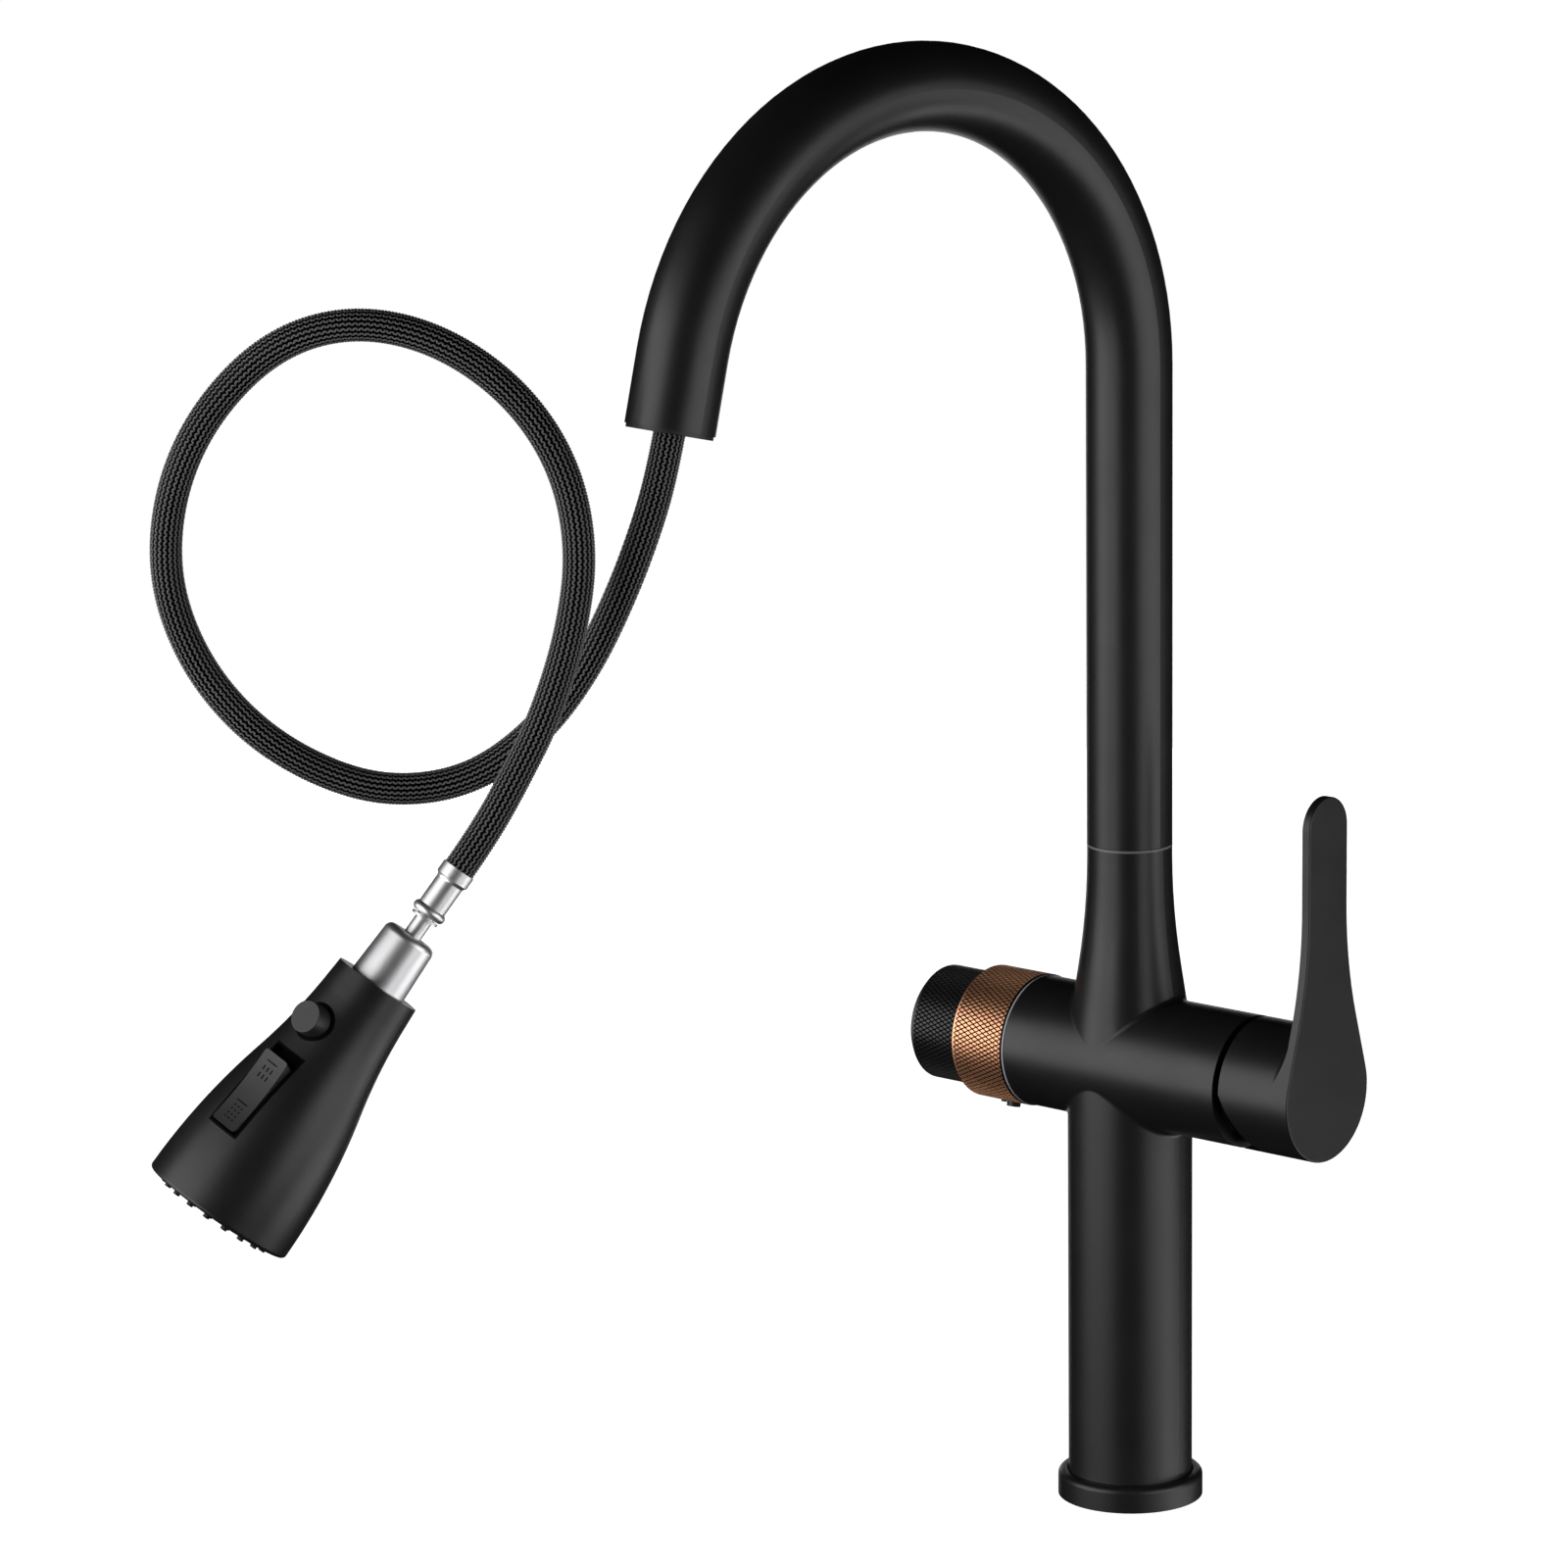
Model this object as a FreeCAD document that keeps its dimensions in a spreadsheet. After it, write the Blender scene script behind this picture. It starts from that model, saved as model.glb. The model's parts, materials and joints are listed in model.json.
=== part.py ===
"""Pull-down kitchen faucet with a lever on one side and a filtered-water knob on the other.

Millimetres, +Z up, origin at the centre of the flange's underside. The cross tube lies along X, with the
lever on +X and the filter knob on -X. The gooseneck is drawn with its spout along -Y and then swivelled.
The spray head is drawn with its axis along Z, its rim at the origin and its button to the front (-Y).
"""
import FreeCAD, Part
import math
import os
import re
import Sketcher
from FreeCAD import Placement, Rotation, Vector

doc = FreeCAD.newDocument("faucet")
sheet = doc.addObject("Spreadsheet::Sheet", "sizes")
parts = {}
NEAR = 1e-4

SIZES = {
    # Clearances
    "running_gap": 0.05,
    "moving_gap": 0.3,
    "cut_margin": 1,
    # Base flange and gasket
    "flange_radius": 24.3,
    "flange_height": 8.6,
    "flange_round": 2.0,
    "flange_shadow_gap": 0.5,
    "flange_lip_height": 2.5,
    "flange_lip_radius": 17.6,
    "gasket_inner_radius": 19.6,
    "gasket_width": 2.4,
    "gasket_height": 1.6,
    # Column and neck
    "column_radius": 20.75,
    "column_wall": 2.5,
    "column_hollow_top": 112,
    "neck_cone_top": 182,
    "neck_cone_radius": 17.17,
    "neck_foot_radius": 21.9,
    "neck_blend_radius": 243,
    "neck_straight_start": 220,
    "neck_top": 223.4,
    "neck_radius": 14.1,
    "hose_bore_radius": 6.1,
    "spigot_bore_radius": 11,
    "spigot_bore_depth": 38,
    # Cross tube
    "cross_height": 151,
    "cross_radius": 22,
    "cross_left": 36.6,
    "cross_right": 51.2,
    "cross_blend_radius": 2,
    "cartridge_bore_radius": 18.5,
    "cartridge_seat": 18.5,
    "filter_recess_radius": 18,
    "filter_recess_depth": 4,
    "filter_thread_radius": 10.2,
    "filter_seat": 17,
    # Base insert and its ports
    "insert_start": 3,
    "insert_height": 12,
    "port_circle_radius": 12.3,
    "port_angle": 45,
    "port_radius": 4.5,
    "stud_hole_radius": 3.4,
    "riser_radius": 3.4,
    "riser_bore": 2.4,
    "waterway_radius": 2.1,
    "waterway_drop": 5.5,
    "outlet_way_rise": 7.5,
    # Cartridge
    "cartridge_radius": 17.4,
    "cartridge_top": 44,
    "rotor_radius": 12.5,
    "rotor_start": 31,
    "rotor_end": 43.5,
    "rotor_slot_height": 18.4,
    "tilt_axis": 40,
    "stem_side": 9,
    "stem_start": 33,
    "stem_end": 72,
    "stem_pin_radius": 1.5,
    "stem_pin_inset": 1,
    "nut_bore_radius": 11.6,
    "nut_rim_radius": 18,
    "nut_rim_end": 52.6,
    # Lever
    "cap_start": 53.7,
    "cap_radius": 22,
    "cap_pocket_radius": 15,
    "cap_pocket_depth": 8.3,
    "cap_cut_angle": 22.8,
    "cap_cut_drop": 0.5,
    "plate_start": 78.5,
    "plate_thickness": 3,
    "flank_angle": 16.4,
    "waist_half_width": 10.2,
    "waist_blend_radius": 135,
    "plate_top_centre": 240,
    "plate_edge_round": 0.5,
    "lever_screw_radius": 2,
    "lever_screw_place": 66,
    "lever_screw_length": 8,
    "lever_back_fillet": 4,
    # Filter knob
    "edge_ring_width": 0.5,
    "edge_ring_radius": 22.2,
    "copper_length": 20.9,
    "copper_radius": 22.4,
    "copper_wall": 3,
    "knurl_depth": 0.45,
    "knurl_margin": 0.5,
    "knob_length": 22,
    "knob_radius": 19.4,
    "knob_rim_chamfer": 1.6,
    "knob_rim_length": 2.6,
    "knob_skirt_gap": 1,
    "knob_cavity_radius": 13,
    "knob_cavity_depth": 16,
    "headwork_radius": 10.8,
    "headwork_length": 12,
    "spindle_radius": 4.4,
    "spindle_inner": 24,
    "spindle_outer": 66,
    "finger_stud_radius": 2.35,
    "finger_stud_proud": 1.6,
    "finger_stud_place": 46,
    "ring_screw_radius": 1,
    "ring_screw_proud": 0.7,
    "ring_screw_place": 50.3,
    "knob_screw_radius": 1.5,
    "knob_screw_proud": 0.3,
    "knob_screw_place": 61.5,
    "knob_screw_seat": 8.4,
    "knob_rest_turn": -12,
    # Gooseneck
    "tube_radius": 14.15,
    "tube_wall": 1.2,
    "bend_radius": 97.85,
    "bend_start": 383.3,
    "bend_angle": 166.2,
    "outlet_straight": 22.8,
    "swivel_ring_height": 0.8,
    "swivel_gap": 0.2,
    "spout_rest_turn": -6.55,
    "spigot_foot_gap": 1.5,
    "spigot_press_length": 18,
    "o_ring_section": 1.6,
    "o_ring_step": 9,
    "bush_lip": 1.2,
    "bush_lip_radius": 13.6,
    "bush_length": 21,
    "bush_bore_radius": 9.9,
    "bush_guide_length": 2,
    "bush_guide_radius": 6.2,
    # Hose and its end
    "hose_radius": 5.15,
    "ferrule_rim_radius": 5.45,
    "ferrule_rim_length": 3.8,
    "ferrule_taper_length": 1.2,
    "ferrule_taper_round": 1.6,
    "ferrule_body_radius": 4.6,
    "ferrule_body_length": 9.3,
    "ferrule_bead_length": 3,
    "ferrule_bead_bulge": 0.95,
    "ferrule_neck_gap": 0.5,
    "stud_washer_radius": 4.55,
    "stud_washer_height": 0.8,
    "stud_neck_radius": 2.9,
    "ball_radius": 6,
    "ball_depth": 12.2,
    # Spray head
    "head_lean": 37.63,
    "head_heading": 64.06,
    "head_roll": -54.09,
    "head_from_hose": 43,
    "rim_radius": 14.1,
    "throat_depth": 8.9,
    "throat_radius": 14.7,
    "shoulder_depth": 36.5,
    "shoulder_radius": 19.1,
    "upper_curve_radius": 170,
    "lower_curve_radius": 206,
    "head_length": 85.5,
    "face_radius": 25,
    "face_edge_round": 1.2,
    "shell_wall": 2,
    "sleeve_rim_radius": 9.4,
    "sleeve_top_radius": 8.6,
    "sleeve_height": 18.3,
    "sleeve_shoulder": 2.4,
    "sleeve_mouth_radius": 4.35,
    "sleeve_bore_radius": 7.4,
    "sleeve_thread_depth": 10,
    "check_valve_inset": 1,
    "check_valve_top": 1.2,
    "seat_half_height": 4.2,
    "core_radius": 9.5,
    "core_start": 11,
    "core_flange_depth": 66,
    "core_flange_radius": 20,
    "core_flange_height": 4,
    "face_plate_radius": 22.4,
    "face_plate_height": 3.5,
    "face_plate_inset": 0.6,
    "nozzle_radius": 1.1,
    "nozzle_length": 2.1,
    "nozzle_ring_inner": 12.5,
    "nozzle_ring_outer": 18.5,
    "nozzles_inner": 12,
    "nozzles_outer": 18,
    "aerator_radius": 8.5,
    "aerator_length": 8,
    # Pause button
    "button_depth": 19.6,
    "button_radius": 5.15,
    "button_face": 21.2,
    "button_back": 13,
    "button_edge_round": 0.3,
    "button_travel": 2.2,
    "button_socket_radius": 6.5,
    "button_socket_back": 11,
    "button_pocket_radius": 4,
    "button_pocket_floor": 17.4,
    "button_stem_radius": 1.6,
    "button_stem_back": 7.5,
    "spring_radius": 2.8,
    "spring_wire_radius": 0.35,
    "spring_turns": 4,
    # Rocker
    "tray_start": 30.7,
    "tray_length": 31.4,
    "tray_width": 12.8,
    "tray_wall": 0.8,
    "tray_back": 13,
    "tray_floor": 1.2,
    "rocker_start": 34.3,
    "rocker_length": 26.4,
    "rocker_width": 10.2,
    "rocker_back": 16.2,
    "rocker_top_face": 21.2,
    "rocker_low_face": 23.9,
    "rocker_dish_radius": 90,
    "rocker_corner_round": 1,
    "rocker_taper": 1.5,
    "rocker_edge_round": 0.6,
    "rocker_pivot_depth": 47.5,
    "rocker_pivot_out": 18,
    "rocker_pin_radius": 1,
}

for row, (alias, number) in enumerate(SIZES.items(), 1):
    sheet.set(f"A{row}", alias)
    sheet.set(f"B{row}", str(number))
    sheet.setAlias(f"B{row}", alias)
doc.recompute()


# ---------------------------------------------------------------- drawing helpers

def bound(formula):
    """A formula of size names, as FreeCAD wants it: every name gets the sheet's own name in front."""
    return re.sub(r"[a-z_]+", lambda word: named(word.group(0)), str(formula))


def named(word):
    """The full name of a size, or the word itself where it names a function such as sin."""
    return f"sizes.{word}" if word in SIZES else word


def value(formula):
    """Present value of a formula of size names."""
    return float(sheet.evalExpression(bound(formula)))


def new_body(label):
    """A PartDesign body whose label names its file."""
    body = doc.addObject("PartDesign::Body", label)
    body.Label = label
    parts[label] = body
    return body


def sketch_on(body, plane, offset="0"):
    """An empty sketch on one of the body's origin planes, moved along the plane's normal."""
    sketch = body.newObject("Sketcher::SketchObject", f"{body.Label}_sketch")
    features = [feature for feature in body.Origin.OriginFeatures if feature.Role == plane]
    sketch.AttachmentSupport = (features[0], [""])
    sketch.MapMode = "FlatFace"
    if offset != "0":
        sketch.setExpression("AttachmentOffset.Base.z", bound(offset))
    return sketch


def pin_coordinate(sketch, kind, edge, end, formula):
    """Bind one coordinate of an edge's end to a formula."""
    if value(formula) == 0:
        axis = -2 if kind == "DistanceX" else -1
        sketch.addConstraint(Sketcher.Constraint("PointOnObject", edge, end, axis))
        return
    index = sketch.addConstraint(Sketcher.Constraint(kind, -1, 1, edge, end, value(formula)))
    sketch.setExpression(f"Constraints[{index}]", bound(formula))


def arc_between(start, finish, radius, side):
    """The shorter arc from start to finish. It bulges to the left or right of the way there."""
    chord = finish - start
    half = chord.Length / 2
    away = Vector(chord.y, -chord.x, 0).normalize()
    if side == "right":
        away = away * -1
    centre = start + chord * 0.5 + away * math.sqrt(max(radius * radius - half * half, 0))
    first, last = (start, finish) if side == "right" else (finish, start)
    first_angle = math.atan2(first.y - centre.y, first.x - centre.x)
    last_angle = math.atan2(last.y - centre.y, last.x - centre.x)
    if last_angle < first_angle:
        last_angle += 2 * math.pi
    return Part.ArcOfCircle(Part.Circle(centre, Vector(0, 0, 1), radius), first_angle, last_angle)


def draw_outline(sketch, corners):
    """Closed outline. A corner is (x, y), or (x, y, radius, side) where an arc leads on from it."""
    places = [Vector(value(corner[0]), value(corner[1]), 0) for corner in corners]
    ends = []
    for index, corner in enumerate(corners):
        start = places[index]
        finish = places[(index + 1) % len(corners)]
        if len(corner) == 2:
            ends.append((sketch.addGeometry(Part.LineSegment(start, finish), False), 1, 2))
            continue
        edge = sketch.addGeometry(arc_between(start, finish, value(corner[2]), corner[3]), False)
        forwards = (sketch.Geometry[edge].StartPoint - start).Length < NEAR
        ends.append((edge, 1, 2) if forwards else (edge, 2, 1))
    for index, corner in enumerate(corners):
        edge, first, last = ends[index]
        next_edge, next_first, _ = ends[(index + 1) % len(corners)]
        sketch.addConstraint(Sketcher.Constraint("Coincident", edge, last, next_edge, next_first))
        pin_coordinate(sketch, "DistanceX", edge, first, corner[0])
        pin_coordinate(sketch, "DistanceY", edge, first, corner[1])
        if len(corner) > 2:
            radius = Sketcher.Constraint("Radius", edge, value(corner[2]))
            sketch.setExpression(f"Constraints[{sketch.addConstraint(radius)}]", bound(corner[2]))


def draw_circle(sketch, radius, across="0", up="0"):
    """Circle of a bound radius at a bound place."""
    centre = Vector(value(across), value(up), 0)
    edge = sketch.addGeometry(Part.Circle(centre, Vector(0, 0, 1), value(radius)), False)
    pin_coordinate(sketch, "DistanceX", edge, 3, across)
    pin_coordinate(sketch, "DistanceY", edge, 3, up)
    index = sketch.addConstraint(Sketcher.Constraint("Radius", edge, value(radius)))
    sketch.setExpression(f"Constraints[{index}]", bound(radius))


def turned(body, corners, axis="V_Axis", plane="XZ_Plane", cut=False):
    """Add or cut a body of revolution. Corners are (radius, height) on the plane."""
    sketch = sketch_on(body, plane)
    draw_outline(sketch, corners)
    kind = "PartDesign::Groove" if cut else "PartDesign::Revolution"
    before = volume_of(body)
    feature = body.newObject(kind, f"{body.Label}_turn")
    feature.Profile = sketch
    feature.ReferenceAxis = (sketch, [axis])
    feature.Angle = 360
    return checked(body, feature, before, cut)


def padded(body, sketch, length, backwards=False, both_ways=False):
    """Pad a sketch by a bound length."""
    before = volume_of(body)
    pad = body.newObject("PartDesign::Pad", f"{body.Label}_pad")
    pad.Profile = sketch
    pad.setExpression("Length", bound(length))
    pad.Reversed = backwards
    pad.SideType = "Symmetric" if both_ways else "One side"
    return checked(body, pad, before, False)


def pocketed(body, sketch, length, along_normal=False, both_ways=False):
    """Cut a sketch into the body by a bound length, along its normal or against it."""
    before = volume_of(body)
    pocket = body.newObject("PartDesign::Pocket", f"{body.Label}_pocket")
    pocket.Profile = sketch
    pocket.setExpression("Length", bound(length))
    pocket.Reversed = along_normal
    pocket.SideType = "Symmetric" if both_ways else "One side"
    return checked(body, pocket, before, True)


def bored(body, plane, offset, radius, length, places, along_normal=True):
    """Drill round holes of one radius and depth from an offset plane."""
    sketch = sketch_on(body, plane, offset)
    for across, up in places:
        draw_circle(sketch, radius, across, up)
    return pocketed(body, sketch, length, along_normal)


def volume_of(body):
    """Volume of a body so far, nothing where it has no solid yet."""
    doc.recompute()
    return 0 if body.Shape.isNull() else body.Shape.Volume


def checked(body, feature, before, cut):
    """Recompute, and stop where a feature failed or changed nothing."""
    after = volume_of(body)
    if "Invalid" in feature.State or "Error" in feature.State:
        raise RuntimeError(f"{feature.Name} failed")
    if (before - after if cut else after - before) <= 0:
        raise RuntimeError(f"{feature.Name} changed nothing")
    return feature


def rounded(body, feature, radius, wanted):
    """Fillet those edges of a feature that the test picks."""
    names = [f"Edge{index + 1}" for index, edge in enumerate(feature.Shape.Edges) if wanted(edge)]
    fillet = body.newObject("PartDesign::Fillet", f"{body.Label}_fillet")
    fillet.Base = (feature, names)
    fillet.setExpression("Radius", bound(radius))
    doc.recompute()
    if not names or "Invalid" in fillet.State or not fillet.Shape.isValid():
        raise RuntimeError(f"{fillet.Name} failed on {names}")
    return fillet


def rim_at(axis, place, radius=None):
    """Test for a circle that lies across an axis at a place, and has a radius where one is given."""
    def test(edge):
        if edge.Curve.TypeId != "Part::GeomCircle":
            return False
        off_place = abs(getattr(edge.Curve.Center, axis) - value(place))
        off_radius = 0 if radius is None else abs(edge.Curve.Radius - value(radius))
        return off_place < NEAR and off_radius < NEAR and abs(getattr(edge.Curve.Axis, axis)) > 0.99
    return test


def solid_part(label, shape):
    """A part whose shape is worked out from the sheet by Part's own functions."""
    feature = doc.addObject("Part::Feature", label)
    feature.Label = label
    feature.Shape = shape
    parts[label] = feature
    return feature


def place_all(labels, placement):
    """Put several parts at one placement."""
    for label in labels:
        parts[label].Placement = placement


# ---------------------------------------------------------------- base

flange = new_body("base_flange")
flange_turn = turned(flange, [
    ("flange_lip_radius", "0"),
    ("gasket_inner_radius", "0"),
    ("gasket_inner_radius", "gasket_height"),
    ("gasket_inner_radius + gasket_width", "gasket_height"),
    ("gasket_inner_radius + gasket_width", "0"),
    ("flange_radius", "0"),
    ("flange_radius", "flange_height"),
    ("column_radius + flange_shadow_gap", "flange_height"),
    ("column_radius + flange_shadow_gap", "flange_lip_height"),
    ("flange_lip_radius", "flange_lip_height"),
])
rounded(flange, flange_turn, "flange_round", rim_at("z", "flange_height", "flange_radius"))

turned(new_body("base_gasket"), [
    ("gasket_inner_radius", "0"),
    ("gasket_inner_radius + gasket_width", "0"),
    ("gasket_inner_radius + gasket_width", "gasket_height"),
    ("gasket_inner_radius", "gasket_height"),
])

PORTS = [
    ("port_circle_radius * cos(port_angle)", "port_circle_radius * sin(port_angle)"),
    ("port_circle_radius * cos(port_angle)", "-port_circle_radius * sin(port_angle)"),
    ("-port_circle_radius * cos(port_angle)", "-port_circle_radius * sin(port_angle)"),
    ("-port_circle_radius * cos(port_angle)", "port_circle_radius * sin(port_angle)"),
]
STUD_HOLES = [("port_circle_radius", "0"), ("-port_circle_radius", "0")]

insert = new_body("base_insert")
turned(insert, [
    ("hose_bore_radius", "insert_start"),
    ("column_radius - column_wall", "insert_start"),
    ("column_radius - column_wall", "insert_start + insert_height"),
    ("hose_bore_radius", "insert_start + insert_height"),
])
bored(insert, "XY_Plane", "insert_start", "port_radius", "insert_height", PORTS)
bored(insert, "XY_Plane", "insert_start", "stud_hole_radius", "insert_height", STUD_HOLES)

risers = new_body("riser_tubes")
riser_foot = "insert_start + insert_height"
riser_sketch = sketch_on(risers, "XY_Plane", riser_foot)
for riser_x, riser_y in PORTS:
    draw_circle(riser_sketch, "riser_radius", riser_x, riser_y)
    draw_circle(riser_sketch, "riser_bore", riser_x, riser_y)
risers.AllowCompound = True
padded(risers, riser_sketch, f"column_hollow_top - ({riser_foot})")


# ---------------------------------------------------------------- cast valve body

casting = new_body("valve_body")
turned(casting, [
    ("0", "flange_lip_height"),
    ("column_radius", "flange_lip_height"),
    ("column_radius", "cross_height"),
    ("neck_foot_radius", "cross_height"),
    ("neck_cone_radius", "neck_cone_top", "neck_blend_radius", "left"),
    ("neck_radius", "neck_straight_start"),
    ("neck_radius", "neck_top"),
    ("0", "neck_top"),
])
cross_sketch = sketch_on(casting, "YZ_Plane", "-cross_left")
draw_circle(cross_sketch, "cross_radius", "0", "cross_height")
cross_pad = padded(casting, cross_sketch, "cross_left + cross_right")


def is_saddle(edge):
    """True for the curves where the column and the neck go into the cross tube."""
    box = edge.BoundBox
    across = box.XLength > value("column_radius") and box.ZLength > value("cross_blend_radius")
    inside = max(box.XMax, -box.XMin) < value("neck_foot_radius")
    return across and inside and box.ZMin > value("column_hollow_top")


rounded(casting, cross_pad, "cross_blend_radius", is_saddle)
bored(casting, "XY_Plane", "flange_lip_height", "column_radius - column_wall",
      "column_hollow_top - flange_lip_height", [("0", "0")])
bored(casting, "XY_Plane", "column_hollow_top", "hose_bore_radius",
      "neck_top - column_hollow_top", [("0", "0")])
bored(casting, "XY_Plane", "neck_top", "spigot_bore_radius", "spigot_bore_depth", [("0", "0")], False)
bored(casting, "YZ_Plane", "cartridge_seat", "cartridge_bore_radius",
      "cross_right - cartridge_seat", [("0", "cross_height")])
bored(casting, "YZ_Plane", "-cross_left", "filter_recess_radius",
      "filter_recess_depth", [("0", "cross_height")])
bored(casting, "YZ_Plane", "-cross_left", "filter_thread_radius",
      "cross_left - filter_seat", [("0", "cross_height")])
WAY_HEIGHT = "cross_height - waterway_drop"
OUTLET_WAY_HEIGHT = "cross_height + outlet_way_rise"
bored(casting, "XY_Plane", "column_hollow_top", "waterway_radius",
      f"{WAY_HEIGHT} - column_hollow_top", PORTS[:3])
bored(casting, "XY_Plane", "column_hollow_top", "waterway_radius",
      f"{OUTLET_WAY_HEIGHT} - column_hollow_top", PORTS[3:])
bored(casting, "YZ_Plane", "port_circle_radius * cos(port_angle)", "waterway_radius",
      "cartridge_seat - port_circle_radius * cos(port_angle)",
      [(PORTS[0][1], WAY_HEIGHT), (PORTS[1][1], WAY_HEIGHT)])
bored(casting, "YZ_Plane", "-port_circle_radius * cos(port_angle)", "waterway_radius",
      "cartridge_seat + port_circle_radius * cos(port_angle)",
      [(PORTS[3][1], OUTLET_WAY_HEIGHT)])
bored(casting, "YZ_Plane", "-port_circle_radius * cos(port_angle)", "waterway_radius",
      "filter_seat - port_circle_radius * cos(port_angle)", [(PORTS[2][1], WAY_HEIGHT)], False)

turned(new_body("swivel_ring"), [
    ("spigot_bore_radius", "neck_top"),
    ("tube_radius", "neck_top"),
    ("tube_radius", "neck_top + swivel_ring_height"),
    ("spigot_bore_radius", "neck_top + swivel_ring_height"),
])


# ---------------------------------------------------------------- cartridge and lever

def along_x(body, corners, cut=False):
    """Turned about the cross tube's axis. Corners are (place along X, radius)."""
    raised = [(corner[0], f"cross_height + {corner[1]}") + tuple(corner[2:]) for corner in corners]
    sketch = sketch_on(body, "XZ_Plane")
    draw_outline(sketch, raised)
    low = Vector(-1, value("cross_height"), 0)
    high = Vector(1, value("cross_height"), 0)
    line = sketch.addGeometry(Part.LineSegment(low, high), True)
    for end, across in ((1, -1), (2, 1)):
        index = sketch.addConstraint(
            Sketcher.Constraint("DistanceY", -1, 1, line, end, value("cross_height")))
        sketch.setExpression(f"Constraints[{index}]", bound("cross_height"))
        sketch.addConstraint(Sketcher.Constraint("DistanceX", -1, 1, line, end, across))
    kind = "PartDesign::Groove" if cut else "PartDesign::Revolution"
    before = volume_of(body)
    feature = body.newObject(kind, f"{body.Label}_turn")
    feature.Profile = sketch
    feature.ReferenceAxis = (sketch, ["Axis0"])
    feature.Angle = 360
    return checked(body, feature, before, cut)


cartridge = new_body("cartridge_body")
along_x(cartridge, [
    ("cartridge_seat", "0"),
    ("cartridge_seat", "cartridge_radius"),
    ("cartridge_top", "cartridge_radius"),
    ("cartridge_top", "rotor_radius + running_gap"),
    ("rotor_start - moving_gap", "rotor_radius + running_gap"),
    ("rotor_start - moving_gap", "0"),
])

along_x(new_body("cartridge_nut"), [
    ("cartridge_top", "nut_bore_radius"),
    ("cartridge_top", "cartridge_bore_radius"),
    ("cross_right", "cartridge_bore_radius"),
    ("cross_right", "nut_rim_radius"),
    ("nut_rim_end", "nut_rim_radius"),
    ("nut_rim_end", "nut_bore_radius"),
])

rotor = new_body("cartridge_rotor")
along_x(rotor, [
    ("rotor_start", "0"),
    ("rotor_start", "rotor_radius"),
    ("rotor_end", "rotor_radius"),
    ("rotor_end", "0"),
])
slot_sketch = sketch_on(rotor, "YZ_Plane", "rotor_start")
draw_outline(slot_sketch, [
    ("-stem_side / 2 - moving_gap", "cross_height - rotor_slot_height / 2"),
    ("stem_side / 2 + moving_gap", "cross_height - rotor_slot_height / 2"),
    ("stem_side / 2 + moving_gap", "cross_height + rotor_slot_height / 2"),
    ("-stem_side / 2 - moving_gap", "cross_height + rotor_slot_height / 2"),
])
pocketed(rotor, slot_sketch, "rotor_end - rotor_start", along_normal=True)
pin_hole = sketch_on(rotor, "XZ_Plane")
draw_circle(pin_hole, "stem_pin_radius", "tilt_axis", "cross_height")
pocketed(rotor, pin_hole, "2 * rotor_radius", both_ways=True)

pin = new_body("stem_pin")
pin_sketch = sketch_on(pin, "XZ_Plane")
draw_circle(pin_sketch, "stem_pin_radius", "tilt_axis", "cross_height")
padded(pin, pin_sketch, "2 * (rotor_radius - stem_pin_inset)", both_ways=True)

stem = new_body("cartridge_stem")
stem_sketch = sketch_on(stem, "YZ_Plane", "stem_start")
STEM_SQUARE = [
    ("-stem_side / 2", "cross_height - stem_side / 2"),
    ("stem_side / 2", "cross_height - stem_side / 2"),
    ("stem_side / 2", "cross_height + stem_side / 2"),
    ("-stem_side / 2", "cross_height + stem_side / 2"),
]
draw_outline(stem_sketch, STEM_SQUARE)
padded(stem, stem_sketch, "stem_end - stem_start")
stem_hole = sketch_on(stem, "XZ_Plane")
draw_circle(stem_hole, "stem_pin_radius + running_gap", "tilt_axis", "cross_height")
pocketed(stem, stem_hole, "2 * stem_side", both_ways=True)

FLANK_Y = "cap_radius * cos(flank_angle)"
FLANK_Z = "cross_height + cap_radius * sin(flank_angle)"
WAIST_CORNER = f"({FLANK_Y} - waist_half_width) / sin(flank_angle)"
BLEND_REACH = "waist_blend_radius * tan(flank_angle / 2)"
BLEND_Y = f"waist_half_width + {BLEND_REACH} * sin(flank_angle)"
BLEND_LOW = f"{FLANK_Z} + ({WAIST_CORNER} - {BLEND_REACH}) * cos(flank_angle)"
BLEND_HIGH = f"{FLANK_Z} + {WAIST_CORNER} * cos(flank_angle) + {BLEND_REACH}"

lever = new_body("lever_handle")
PLATE_OUTLINE = [
    ("0", "cross_height - cap_radius", "cap_radius", "right"),
    (FLANK_Y, FLANK_Z),
    (BLEND_Y, BLEND_LOW, "waist_blend_radius", "left"),
    ("waist_half_width", BLEND_HIGH),
    ("waist_half_width", "plate_top_centre", "waist_half_width", "right"),
    ("0", "plate_top_centre + waist_half_width", "waist_half_width", "right"),
    ("-waist_half_width", "plate_top_centre"),
    ("-waist_half_width", BLEND_HIGH, "waist_blend_radius", "left"),
    (f"-({BLEND_Y})", BLEND_LOW),
    (f"-({FLANK_Y})", FLANK_Z, "cap_radius", "right"),
]
plate_sketch = sketch_on(lever, "YZ_Plane", "plate_start")
draw_outline(plate_sketch, PLATE_OUTLINE)
plate_pad = padded(lever, plate_sketch, "plate_thickness")


def is_face_edge(edge):
    """True for the outline of the plate's outer face."""
    face = value("plate_start + plate_thickness")
    return abs(edge.BoundBox.XMin - face) < NEAR and abs(edge.BoundBox.XMax - face) < NEAR


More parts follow.
